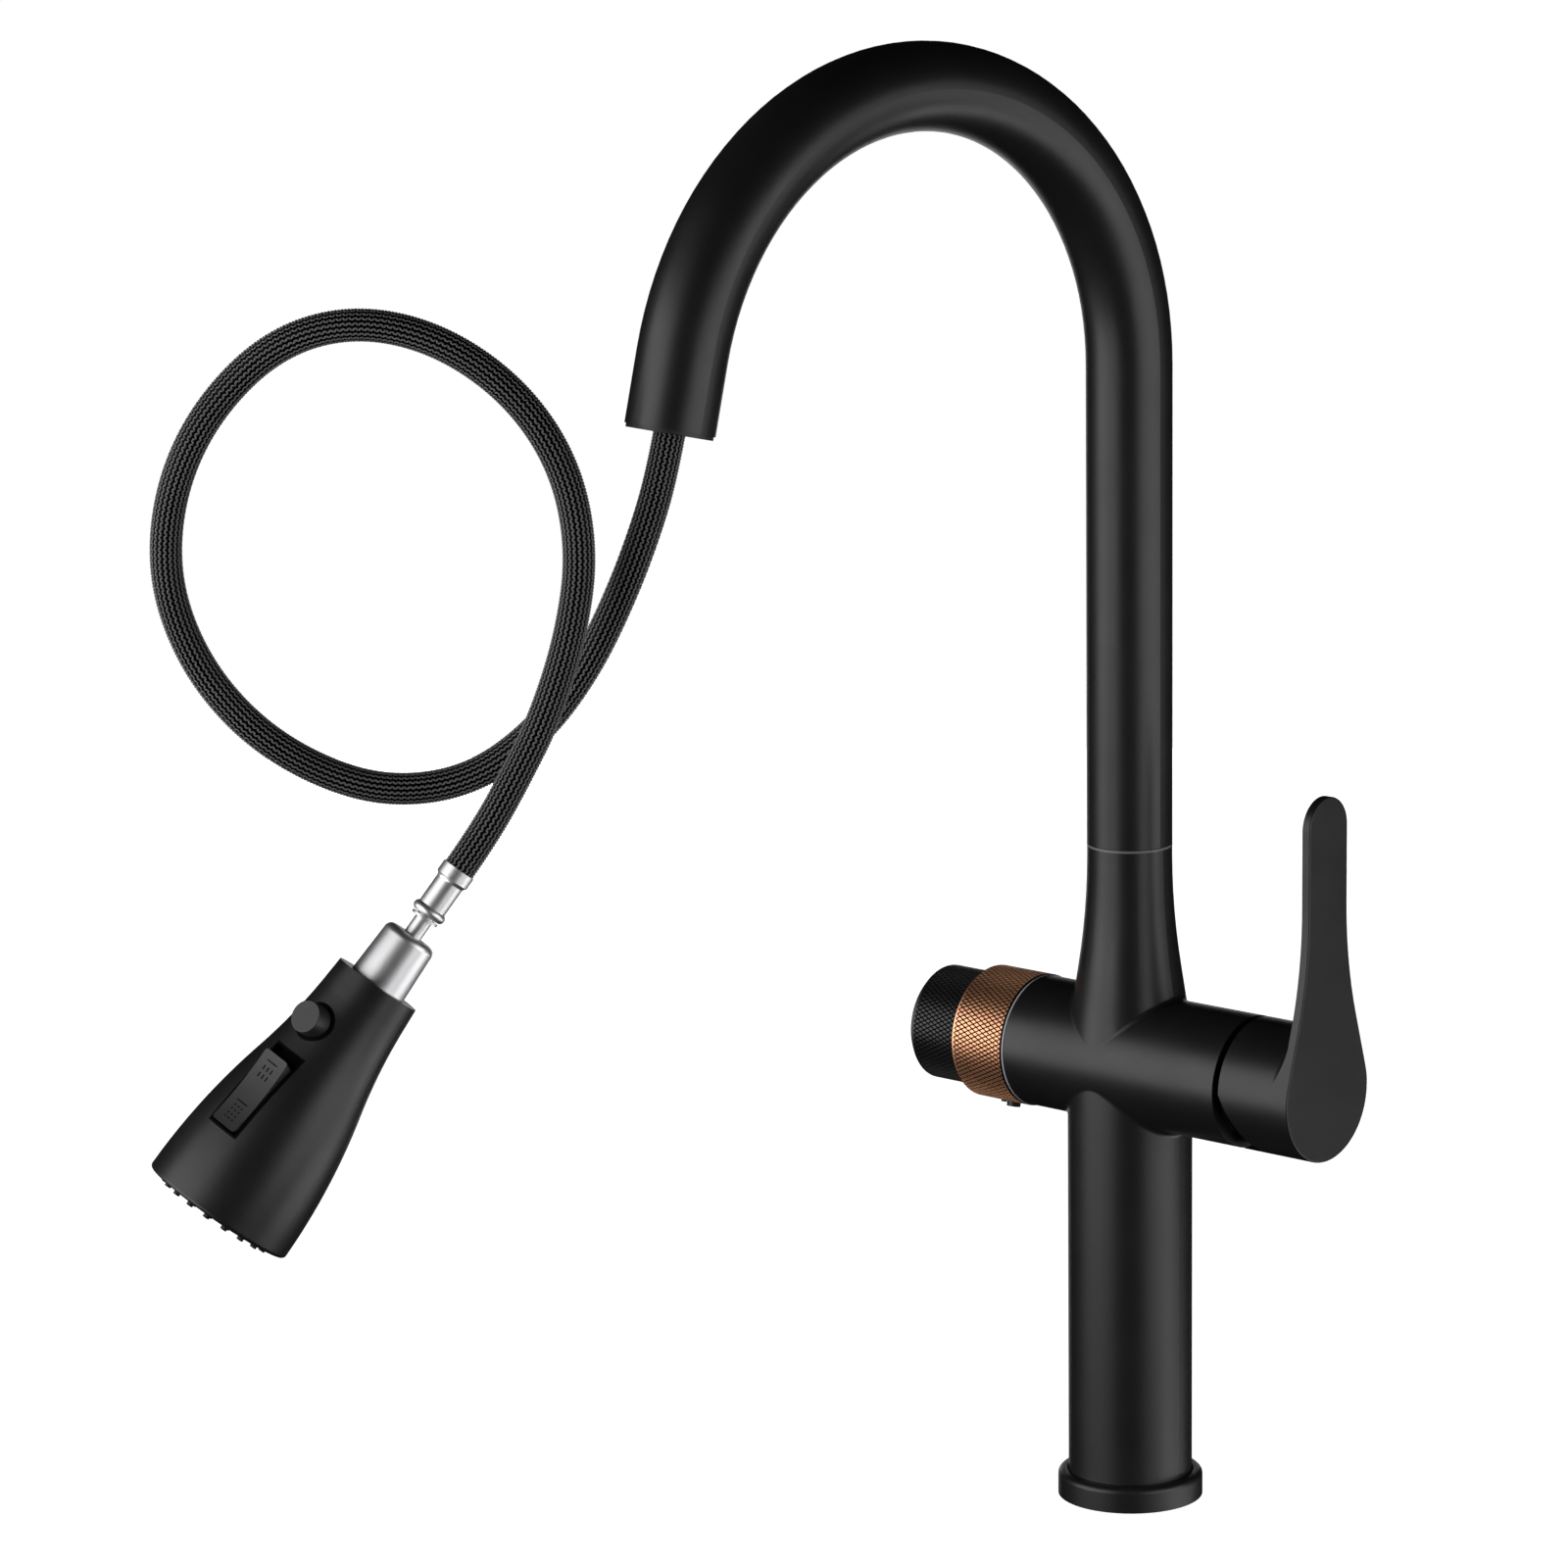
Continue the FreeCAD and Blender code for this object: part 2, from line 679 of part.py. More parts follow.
rounded(lever, plate_pad, "plate_edge_round", is_face_edge)
gusset_sketch = sketch_on(lever, "YZ_Plane", "plate_start - lever_back_fillet")
draw_outline(gusset_sketch, PLATE_OUTLINE)
padded(lever, gusset_sketch, "lever_back_fillet")
along_x(lever, [
    ("plate_start - lever_back_fillet", "cap_radius", "lever_back_fillet", "right"),
    ("plate_start", "cap_radius + lever_back_fillet"),
    ("plate_start", "plate_top_centre"),
    ("plate_start - lever_back_fillet - cut_margin", "plate_top_centre"),
    ("plate_start - lever_back_fillet - cut_margin", "cap_radius"),
], cut=True)
cap_sketch = sketch_on(lever, "YZ_Plane", "cap_start")
draw_circle(cap_sketch, "cap_radius", "0", "cross_height")
padded(lever, cap_sketch, "plate_start - cap_start")
bored(lever, "YZ_Plane", "cap_start", "cap_pocket_radius", "cap_pocket_depth", [("0", "cross_height")])
socket_sketch = sketch_on(lever, "YZ_Plane", "cap_start")
draw_outline(socket_sketch, STEM_SQUARE)
pocketed(lever, socket_sketch, "stem_end - cap_start", along_normal=True)
screw_hole = sketch_on(lever, "XY_Plane", "cross_height - cap_radius")
draw_circle(screw_hole, "lever_screw_radius", "lever_screw_place", "0")
pocketed(lever, screw_hole, "cap_radius - stem_side / 2", along_normal=True)
cut_sketch = sketch_on(lever, "XZ_Plane")
CUT_DROP = "cap_radius + cut_margin"
draw_outline(cut_sketch, [
    ("cap_start", "cross_height + cap_cut_drop"),
    (f"cap_start + ({CUT_DROP}) * tan(cap_cut_angle)", f"cross_height + cap_cut_drop - {CUT_DROP}"),
    ("cap_start - cut_margin", f"cross_height + cap_cut_drop - {CUT_DROP}"),
    ("cap_start - cut_margin", "cross_height + cap_cut_drop"),
])
pocketed(lever, cut_sketch, "2 * (cap_radius + cut_margin)", both_ways=True)

screw = new_body("lever_grub_screw")
screw_sketch = sketch_on(screw, "XY_Plane", "cross_height - stem_side / 2")
draw_circle(screw_sketch, "lever_screw_radius", "lever_screw_place", "0")
padded(screw, screw_sketch, "lever_screw_length", backwards=True)


# ---------------------------------------------------------------- filter knob

EDGE_RING_END = "(cross_left + edge_ring_width)"
COPPER_START = f"({EDGE_RING_END} + moving_gap)"
COPPER_END = f"({COPPER_START} + copper_length)"
KNOB_END = f"({COPPER_END} + knob_length)"

along_x(new_body("body_edge_ring"), [
    ("-cross_left", "filter_recess_radius"),
    ("-cross_left", "edge_ring_radius"),
    (f"-{EDGE_RING_END}", "edge_ring_radius"),
    (f"-{EDGE_RING_END}", "filter_recess_radius"),
])

HEADWORK_END = "(cross_left - filter_recess_depth + headwork_length)"
along_x(new_body("filter_valve"), [
    ("-filter_seat", "0"),
    ("-filter_seat", "filter_thread_radius"),
    ("-(cross_left - filter_recess_depth)", "filter_thread_radius"),
    ("-(cross_left - filter_recess_depth)", "headwork_radius"),
    (f"-{HEADWORK_END}", "headwork_radius"),
    (f"-{HEADWORK_END}", "spindle_radius + running_gap"),
    ("-(spindle_inner - moving_gap)", "spindle_radius + running_gap"),
    ("-(spindle_inner - moving_gap)", "0"),
])

along_x(new_body("filter_spindle"), [
    ("-spindle_inner", "0"),
    ("-spindle_inner", "spindle_radius"),
    ("-spindle_outer", "spindle_radius"),
    ("-spindle_outer", "0"),
])

knob = new_body("knob_cap")
knob_turn = along_x(knob, [
    (f"-({COPPER_START} + knob_skirt_gap)", "knob_cavity_radius"),
    (f"-({COPPER_START} + knob_skirt_gap)", "copper_radius - copper_wall"),
    (f"-{COPPER_END}", "copper_radius - copper_wall"),
    (f"-{COPPER_END}", "knob_radius - knurl_depth"),
    (f"-({KNOB_END} - knob_rim_length)", "knob_radius - knurl_depth"),
    (f"-({KNOB_END} - knob_rim_length)", "knob_radius"),
    (f"-({KNOB_END} - knob_rim_chamfer)", "knob_radius"),
    (f"-{KNOB_END}", "knob_radius - knob_rim_chamfer"),
    (f"-{KNOB_END}", "0"),
    ("-spindle_outer", "0"),
    ("-spindle_outer", "spindle_radius"),
    (f"-({COPPER_START} + knob_cavity_depth)", "spindle_radius"),
    (f"-({COPPER_START} + knob_cavity_depth)", "knob_cavity_radius"),
])

along_x(new_body("copper_ring"), [
    (f"-{COPPER_START}", "copper_radius - copper_wall"),
    (f"-{COPPER_START}", "copper_radius"),
    (f"-({COPPER_START} + knurl_margin)", "copper_radius"),
    (f"-({COPPER_START} + knurl_margin)", "copper_radius - knurl_depth"),
    (f"-({COPPER_END} - knurl_margin)", "copper_radius - knurl_depth"),
    (f"-({COPPER_END} - knurl_margin)", "copper_radius"),
    (f"-{COPPER_END}", "copper_radius"),
    (f"-{COPPER_END}", "copper_radius - copper_wall"),
])


def stud_below(label, place, radius, seat, proud_radius):
    """A pin that stands out below the knob: from a seat radius down to its proud end."""
    body = new_body(label)
    sketch = sketch_on(body, "XY_Plane", f"cross_height - ({proud_radius})")
    draw_circle(sketch, radius, f"-{place}", "0")
    padded(body, sketch, f"{proud_radius} - ({seat})")


def hole_below(label, place, radius, seat, surface):
    """The hole that such a pin sits in."""
    sketch = sketch_on(parts[label], "XY_Plane", f"cross_height - ({surface})")
    draw_circle(sketch, radius, f"-{place}", "0")
    pocketed(parts[label], sketch, f"{surface} - ({seat})", along_normal=True)


COPPER_BORE = "copper_radius - copper_wall"
for hole_place, hole_radius in (("finger_stud_place", "finger_stud_radius"),
                                ("ring_screw_place", "ring_screw_radius")):
    hole_below("copper_ring", hole_place, hole_radius, COPPER_BORE, "copper_radius + cut_margin")
stud_below("ring_finger_stud", "finger_stud_place", "finger_stud_radius", COPPER_BORE,
           "copper_radius + finger_stud_proud")
stud_below("ring_set_screw", "ring_screw_place", "ring_screw_radius", COPPER_BORE,
           "copper_radius + ring_screw_proud")
hole_below("knob_cap", "knob_screw_place", "knob_screw_radius", "knob_screw_seat",
           "knob_radius + cut_margin")
stud_below("knob_grub_screw", "knob_screw_place", "knob_screw_radius", "knob_screw_seat",
           "knob_radius + knob_screw_proud")


# ---------------------------------------------------------------- gooseneck, drawn along -Y

TUBE_FOOT = "(neck_top + swivel_ring_height + swivel_gap)"
SPIGOT_FOOT = "(neck_top - spigot_bore_depth + spigot_foot_gap)"


def centre_line(foot):
    """Straight run, bend and tail of the gooseneck as one wire, from a foot height up."""
    radius = value("bend_radius")
    angle = math.radians(value("bend_angle"))
    start = Vector(0, 0, value("bend_start"))

    def on_bend(turn):
        return start + Vector(0, radius * (math.cos(turn) - 1), radius * math.sin(turn))

    tail = Vector(0, -math.sin(angle), math.cos(angle)) * value("outlet_straight")
    rise = Part.LineSegment(Vector(0, 0, value(foot)), start)
    bend = Part.Arc(start, on_bend(angle / 2), on_bend(angle))
    drop = Part.LineSegment(on_bend(angle), on_bend(angle) + tail)
    return Part.Wire([rise.toShape(), bend.toShape(), drop.toShape()]), on_bend(angle) + tail


gooseneck = new_body("gooseneck_tube")
spine = sketch_on(gooseneck, "YZ_Plane")
bend_radians = math.radians(value("bend_angle"))
bend_centre = Vector(-value("bend_radius"), value("bend_start"), 0)
bend_end = bend_centre + Vector(math.cos(bend_radians), math.sin(bend_radians), 0) * value("bend_radius")
bend_tail = Vector(-math.sin(bend_radians), math.cos(bend_radians), 0) * value("outlet_straight")
spine.addGeometry(Part.LineSegment(Vector(0, value(TUBE_FOOT), 0), Vector(0, value("bend_start"), 0)), False)
spine.addGeometry(Part.ArcOfCircle(
    Part.Circle(bend_centre, Vector(0, 0, 1), value("bend_radius")), 0, bend_radians), False)
spine.addGeometry(Part.LineSegment(bend_end, bend_end + bend_tail), False)
pin_coordinate(spine, "DistanceX", 0, 1, "0")
pin_coordinate(spine, "DistanceY", 0, 1, TUBE_FOOT)
pin_coordinate(spine, "DistanceX", 0, 2, "0")
pin_coordinate(spine, "DistanceY", 0, 2, "bend_start")
spine.addConstraint(Sketcher.Constraint("Tangent", 0, 2, 1, 1))
spine.addConstraint(Sketcher.Constraint("Tangent", 1, 2, 2, 1))
for spine_constraint, spine_size in (
        (Sketcher.Constraint("Radius", 1, value("bend_radius")), "bend_radius"),
        (Sketcher.Constraint("Angle", 1, bend_radians), "bend_angle"),
        (Sketcher.Constraint("Distance", 2, value("outlet_straight")), "outlet_straight")):
    spine.setExpression(f"Constraints[{spine.addConstraint(spine_constraint)}]", bound(spine_size))
tube_profile = sketch_on(gooseneck, "XY_Plane", TUBE_FOOT)
draw_circle(tube_profile, "tube_radius")
draw_circle(tube_profile, "tube_radius - tube_wall")
tube_pipe = gooseneck.newObject("PartDesign::AdditivePipe", "gooseneck_pipe")
tube_pipe.Profile = tube_profile
tube_pipe.Spine = (spine, [])
checked(gooseneck, tube_pipe, 0, False)

spigot = new_body("spout_spigot")
O_RING_LOW = f"({SPIGOT_FOOT} + o_ring_step)"
O_RING_HIGH = f"({O_RING_LOW} + o_ring_step)"
SPIGOT_RADIUS = "(spigot_bore_radius - running_gap)"
GROOVE_RADIUS = f"({SPIGOT_RADIUS} - o_ring_section)"
turned(spigot, [
    ("hose_bore_radius", SPIGOT_FOOT),
    (SPIGOT_RADIUS, SPIGOT_FOOT),
    (SPIGOT_RADIUS, O_RING_LOW),
    (GROOVE_RADIUS, O_RING_LOW),
    (GROOVE_RADIUS, f"{O_RING_LOW} + o_ring_section"),
    (SPIGOT_RADIUS, f"{O_RING_LOW} + o_ring_section"),
    (SPIGOT_RADIUS, O_RING_HIGH),
    (GROOVE_RADIUS, O_RING_HIGH),
    (GROOVE_RADIUS, f"{O_RING_HIGH} + o_ring_section"),
    (SPIGOT_RADIUS, f"{O_RING_HIGH} + o_ring_section"),
    (SPIGOT_RADIUS, TUBE_FOOT),
    ("tube_radius - tube_wall", TUBE_FOOT),
    ("tube_radius - tube_wall", f"{TUBE_FOOT} + spigot_press_length"),
    ("hose_bore_radius", f"{TUBE_FOOT} + spigot_press_length"),
])

rings = new_body("spigot_orings")
rings.AllowCompound = True
rings_sketch = sketch_on(rings, "XZ_Plane")
for ring_foot in (O_RING_LOW, O_RING_HIGH):
    draw_circle(rings_sketch, "o_ring_section / 2", f"{GROOVE_RADIUS} + o_ring_section / 2",
                f"{ring_foot} + o_ring_section / 2")
rings_turn = rings.newObject("PartDesign::Revolution", "spigot_orings_turn")
rings_turn.Profile = rings_sketch
rings_turn.ReferenceAxis = (rings_sketch, ["V_Axis"])
rings_turn.Angle = 360
checked(rings, rings_turn, 0, False)

outlet_centre = centre_line(TUBE_FOOT)[1]
outlet_turn = Rotation(Vector(1, 0, 0), value("bend_angle"))
outlet_placement = Placement(outlet_centre, outlet_turn)

bush = new_body("guide_bush")
turned(bush, [
    ("bush_bore_radius", "bush_lip"),
    ("bush_lip_radius", "bush_lip"),
    ("bush_lip_radius", "0"),
    ("tube_radius - tube_wall", "0"),
    ("tube_radius - tube_wall", "-bush_length"),
    ("bush_guide_radius", "-bush_length"),
    ("bush_guide_radius", "-(bush_length - bush_guide_length)"),
    ("bush_bore_radius", "-(bush_length - bush_guide_length)"),
])


# ---------------------------------------------------------------- hose

HEAD_TURN = (
    Rotation(Vector(0, 0, 1), value("head_heading"))
    * Rotation(Vector(0, 1, 0), value("head_lean"))
    * Rotation(Vector(0, 0, 1), value("head_roll")))

# The hose's route in the spout's own frame, from the tube's mouth to the ferrule's rim.
HOSE_ROUTE = [
    (0, -198.3, 384.5),
    (-0.5, -201.5, 371),
    (-4.5, -204.5, 354.5),
    (-13, -207.5, 333.5),
    (-24.5, -212.5, 309.5),
    (-37, -222, 288.5),
    (-51, -237.5, 273.5),
    (-67.5, -256.5, 270),
    (-82.5, -274.5, 277.5),
    (-95, -291.5, 292.5),
    (-104, -304.5, 314),
    (-108, -311.5, 340),
    (-104.5, -310.5, 367.5),
    (-95, -303, 392),
    (-79.5, -289, 412.5),
    (-61.5, -272.5, 420),
    (-42.5, -255, 415),
    (-25.5, -239, 399),
    (-14, -229, 376.5),
    (-9, -226.5, 350),
    (-10.5, -230.5, 323.5),
    (-15.5, -237.5, 298),
    (-21, -245, 280),
    (-26, -253.2, 263.5),
    (-29.7, -260.9, 252.4),
]
ARC_SHARE = 0.45


def rounded_route(route):
    """Straight runs joined by tangent arcs, each as large as its two runs allow, and the radii."""
    points = [Vector(*point) for point in route]
    edges = []
    radii = []
    here = points[0]
    for before, corner, after in zip(points, points[1:], points[2:]):
        inward = (before - corner).normalize()
        outward = (after - corner).normalize()
        half_turn = (math.pi - inward.getAngle(outward)) / 2
        reach = ARC_SHARE * min((before - corner).Length, (after - corner).Length)
        radius = reach / math.tan(half_turn)
        middle = corner + (inward + outward).normalize() * (radius / math.cos(half_turn) - radius)
        start = corner + inward * reach
        finish = corner + outward * reach
        edges.append(Part.LineSegment(here, start).toShape())
        edges.append(Part.Arc(start, middle, finish).toShape())
        radii.append(radius)
        here = finish
    edges.append(Part.LineSegment(here, points[-1]).toShape())
    return Part.Wire(edges), radii


def tube_along(wire, radius):
    """A plain round tube, filled, along a wire."""
    start = wire.Edges[0].Vertexes[0].Point
    direction = wire.Edges[0].tangentAt(wire.Edges[0].FirstParameter)
    section = Part.Wire([Part.makeCircle(radius, start, direction)])
    tube = wire.makePipeShell([section], True, True)
    expected = math.pi * radius * radius * wire.Length
    print(f"tube length {wire.Length:.1f} volume ratio {tube.Volume / expected:.5f}")
    return tube


hose_wire, hose_radii = rounded_route(HOSE_ROUTE)
print("hose radii", [round(radius) for radius in hose_radii])
solid_part("hose", tube_along(hose_wire, value("hose_radius")))
inner_wire = centre_line("insert_start")[0]
solid_part("hose_in_spout", tube_along(inner_wire, value("hose_radius")))

# Heights in the head's frame: the hose comes in at head_from_hose, and the rim is at zero.
RIM_FOOT = "(head_from_hose - ferrule_rim_length)"
TAPER_FOOT = f"({RIM_FOOT} - ferrule_taper_length)"
BODY_FOOT = f"({TAPER_FOOT} - ferrule_body_length)"
BEAD_FOOT = f"({BODY_FOOT} - ferrule_bead_length)"
WASHER_TOP = f"({BEAD_FOOT} - ferrule_neck_gap)"
WASHER_FOOT = f"({WASHER_TOP} - stud_washer_height)"

BEAD_ROUND = "ferrule_bead_length ^ 2 / (8 * ferrule_bead_bulge) + ferrule_bead_bulge / 2"

turned(new_body("hose_ferrule"), [
    ("0", BEAD_FOOT),
    ("ferrule_body_radius", BEAD_FOOT, BEAD_ROUND, "right"),
    ("ferrule_body_radius", BODY_FOOT),
    ("ferrule_body_radius", TAPER_FOOT, "ferrule_taper_round", "left"),
    ("ferrule_rim_radius", RIM_FOOT),
    ("ferrule_rim_radius", "head_from_hose"),
    ("0", "head_from_hose"),
])
BALL_TOP = "ball_depth + sqrt(ball_radius * ball_radius - stud_neck_radius * stud_neck_radius)"
turned(new_body("ball_stud"), [
    ("0", "ball_depth - ball_radius", "ball_radius", "right"),
    ("ball_radius", "ball_depth", "ball_radius", "right"),
    ("stud_neck_radius", BALL_TOP),
    ("stud_neck_radius", WASHER_FOOT),
    ("stud_washer_radius", WASHER_FOOT),
    ("stud_washer_radius", WASHER_TOP),
    ("stud_neck_radius", WASHER_TOP),
    ("stud_neck_radius", BEAD_FOOT),
    ("0", BEAD_FOOT),
])


# ---------------------------------------------------------------- spray head

SEAT_RADIUS = "(ball_radius + running_gap)"
SEAT_MOUTH = f"sqrt({SEAT_RADIUS} * {SEAT_RADIUS} - seat_half_height * seat_half_height)"
turned(new_body("ball_seat"), [
    (SEAT_MOUTH, "ball_depth - seat_half_height"),
    ("sleeve_bore_radius - running_gap", "ball_depth - seat_half_height"),
    ("sleeve_bore_radius - running_gap", "ball_depth + seat_half_height"),
    (SEAT_MOUTH, "ball_depth + seat_half_height", SEAT_RADIUS, "left"),
    (SEAT_RADIUS, "ball_depth", SEAT_RADIUS, "left"),
])

sleeve = new_body("socket_sleeve")
sleeve_turn = turned(sleeve, [
    ("sleeve_bore_radius", "-sleeve_thread_depth"),
    ("sleeve_rim_radius", "-sleeve_thread_depth"),
    ("sleeve_rim_radius", "0"),
    ("sleeve_top_radius", "sleeve_height"),
    ("sleeve_mouth_radius", "sleeve_height"),
    ("sleeve_mouth_radius", "ball_depth + seat_half_height + running_gap"),
    ("sleeve_bore_radius", "ball_depth + seat_half_height + running_gap"),
])
rounded(sleeve, sleeve_turn, "sleeve_shoulder", rim_at("z", "sleeve_height", "sleeve_top_radius"))

HEAD_OUTSIDE = [
    ("rim_radius", "0"),
    ("throat_radius", "-throat_depth", "upper_curve_radius", "right"),
    ("shoulder_radius", "-shoulder_depth", "lower_curve_radius", "left"),
    ("face_radius", "-head_length"),
]


def head_blank(body):
    """The head's outside as a solid of revolution."""
    return turned(body, [("0", "0")] + HEAD_OUTSIDE + [("0", "-head_length")])


def side_window(body, half_width, low, high, back, reach="2 * face_radius"):
    """Cut a rectangular window into the front of the head, from a back plane outwards."""
    sketch = sketch_on(body, "XZ_Plane", back)
    draw_outline(sketch, [
        (f"-({half_width})", f"-({low})"),
        (half_width, f"-({low})"),
        (half_width, f"-({high})"),
        (f"-({half_width})", f"-({high})"),
    ])
    return pocketed(body, sketch, reach, along_normal=True)


shell = new_body("head_shell")
shell_blank = head_blank(shell)
rounded(shell, shell_blank, "face_edge_round", rim_at("z", "-head_length", "face_radius"))
turned(shell, [
    ("0", "0"),
    ("sleeve_rim_radius", "0"),
    ("sleeve_rim_radius", "-sleeve_thread_depth"),
    ("throat_radius - shell_wall", "-sleeve_thread_depth", "upper_curve_radius", "right"),
    ("shoulder_radius - shell_wall", "-shoulder_depth", "lower_curve_radius", "left"),
    ("face_radius - shell_wall", "-head_length"),
    ("0", "-head_length"),
], cut=True)
bored(shell, "XZ_Plane", "button_socket_back", "button_socket_radius", "face_radius",
      [("0", "-button_depth")])
TRAY_END = "tray_start + tray_length"
side_window(shell, "tray_width / 2", "tray_start", TRAY_END, "tray_back")

FAR_OUT = "3 * head_length"

socket = new_body("button_socket")
head_blank(socket)
socket_cut = sketch_on(socket, "XZ_Plane", "-2 * face_radius")
draw_circle(socket_cut, FAR_OUT, "0", "-button_depth")
draw_circle(socket_cut, "button_socket_radius", "0", "-button_depth")
pocketed(socket, socket_cut, "4 * face_radius", along_normal=True)
bored(socket, "XZ_Plane", "-2 * face_radius", "2 * face_radius",
      "2 * face_radius + button_socket_back", [("0", "-button_depth")])
bored(socket, "XZ_Plane", "button_socket_back", "button_radius + running_gap", "face_radius",
      [("0", "-button_depth")])

tray = new_body("rocker_tray")
head_blank(tray)
tray_cut = sketch_on(tray, "XZ_Plane", "-2 * face_radius")
draw_circle(tray_cut, FAR_OUT, "0", "0")
TRAY_CORNERS = [
    ("-tray_width / 2", "-tray_start"),
    ("tray_width / 2", "-tray_start"),
    ("tray_width / 2", f"-({TRAY_END})"),
    ("-tray_width / 2", f"-({TRAY_END})"),
]
draw_outline(tray_cut, TRAY_CORNERS)
pocketed(tray, tray_cut, "4 * face_radius", along_normal=True)
bored(tray, "XZ_Plane", "-2 * face_radius", FAR_OUT, "2 * face_radius + tray_back", [("0", "0")])
side_window(tray, "tray_width / 2 - tray_wall", "tray_start + tray_wall", f"{TRAY_END} - tray_wall",
            "tray_back + tray_floor")
tray_pin_hole = sketch_on(tray, "YZ_Plane")
draw_circle(tray_pin_hole, "rocker_pin_radius", "-rocker_pivot_out", "-rocker_pivot_depth")
pocketed(tray, tray_pin_hole, "2 * tray_width", both_ways=True)

rocker_pin = new_body("rocker_pin")
rocker_pin_sketch = sketch_on(rocker_pin, "YZ_Plane")
draw_circle(rocker_pin_sketch, "rocker_pin_radius", "-rocker_pivot_out", "-rocker_pivot_depth")
padded(rocker_pin, rocker_pin_sketch, "tray_width", both_ways=True)

rocker = new_body("rocker")
rocker_sketch = sketch_on(rocker, "YZ_Plane")
draw_outline(rocker_sketch, [
    ("-rocker_back", "-(rocker_start + rocker_taper)"),
    ("-rocker_top_face", "-rocker_start", "rocker_dish_radius", "left"),
    ("-rocker_low_face", "-(rocker_start + rocker_length)"),
    ("-rocker_back", "-(rocker_start + rocker_length - rocker_taper)"),
])
rocker_pad = padded(rocker, rocker_sketch, "rocker_width", both_ways=True)


def is_rocker_corner(edge):
    """True for the four short upright corners of the rocker."""
    box = edge.BoundBox
    slant = value("rocker_taper")
    return box.XLength < NEAR and box.ZLength < slant + NEAR and box.YLength > slant


rocker_corners = rounded(rocker, rocker_pad, "rocker_corner_round", is_rocker_corner)
rocker_hole = sketch_on(rocker, "YZ_Plane")
draw_circle(rocker_hole, "rocker_pin_radius + running_gap", "-rocker_pivot_out", "-rocker_pivot_depth")
pocketed(rocker, rocker_hole, "2 * rocker_width", both_ways=True)

button = new_body("pause_button")
button_sketch = sketch_on(button, "XZ_Plane", "button_back")
draw_circle(button_sketch, "button_radius", "0", "-button_depth")
button_pad = padded(button, button_sketch, "button_face - button_back")
rounded(button, button_pad, "button_edge_round", rim_at("y", "-button_face"))
bored(button, "XZ_Plane", "button_back", "button_pocket_radius", "button_pocket_floor - button_back",
      [("0", "-button_depth")])
button_stem = sketch_on(button, "XZ_Plane", "button_stem_back")
draw_circle(button_stem, "button_stem_radius", "0", "-button_depth")
padded(button, button_stem, "button_pocket_floor - button_stem_back")

coil_low = value("core_radius + button_travel + moving_gap + spring_wire_radius")
coil_high = value("button_pocket_floor - spring_wire_radius")
coil = Part.makeHelix((coil_high - coil_low) / value("spring_turns"), coil_high - coil_low,
                      value("spring_radius"))
coil_start = Vector(value("spring_radius"), 0, 0)
coil_section = Part.Wire([Part.makeCircle(value("spring_wire_radius"), coil_start, Vector(0, 1, 0))])
coil_solid = Part.Wire(coil.Edges).makePipeShell([coil_section], True, True)
coil_solid.Placement = Placement(
    Vector(0, -coil_low, -value("button_depth")), Rotation(Vector(1, 0, 0), 90))
solid_part("button_spring", coil_solid)

core = new_body("water_core")
core_turn = turned(core, [
    ("0", "-core_start"),
    ("core_radius", "-core_start"),
    ("core_radius", "-core_flange_depth"),
    ("core_flange_radius", "-core_flange_depth"),
    ("core_flange_radius", "-(core_flange_depth + core_flange_height)"),
    ("0", "-(core_flange_depth + core_flange_height)"),
])
bored(core, "XZ_Plane", "button_stem_back - button_travel - moving_gap", "button_stem_radius + running_gap",
      "core_radius", [("0", "-button_depth")])

turned(new_body("check_valve"), [
    ("0", "-(sleeve_thread_depth - check_valve_inset)"),
    ("sleeve_bore_radius", "-(sleeve_thread_depth - check_valve_inset)"),
    ("sleeve_bore_radius", "check_valve_top"),
    ("0", "check_valve_top"),
])

FACE_TOP = "(head_length - face_plate_inset - face_plate_height)"
FACE_LOW = "(head_length - face_plate_inset)"
face = new_body("spray_face")
turned(face, [
    ("aerator_radius", f"-{FACE_TOP}"),
    ("face_plate_radius", f"-{FACE_TOP}"),
    ("face_plate_radius", f"-{FACE_LOW}"),
    ("aerator_radius", f"-{FACE_LOW}"),
])

nozzles = new_body("spray_nozzles")
nozzles.AllowCompound = True
nozzle_sketch = sketch_on(nozzles, "XY_Plane", f"-{FACE_LOW}")
for nozzle_count, nozzle_ring in (("nozzles_inner", "nozzle_ring_inner"),
                                  ("nozzles_outer", "nozzle_ring_outer")):
    for nozzle_index in range(round(value(nozzle_count))):
        nozzle_angle = f"({nozzle_index} * 360 / {nozzle_count})"
        draw_circle(nozzle_sketch, "nozzle_radius", f"{nozzle_ring} * cos({nozzle_angle})",
                    f"{nozzle_ring} * sin({nozzle_angle})")
padded(nozzles, nozzle_sketch, "nozzle_length", backwards=True)

turned(new_body("aerator"), [
    ("0", f"-({FACE_LOW} - aerator_length)"),
    ("aerator_radius", f"-({FACE_LOW} - aerator_length)"),
    ("aerator_radius", f"-{FACE_LOW}"),
    ("0", f"-{FACE_LOW}"),
])


# ---------------------------------------------------------------- placing, checking, writing

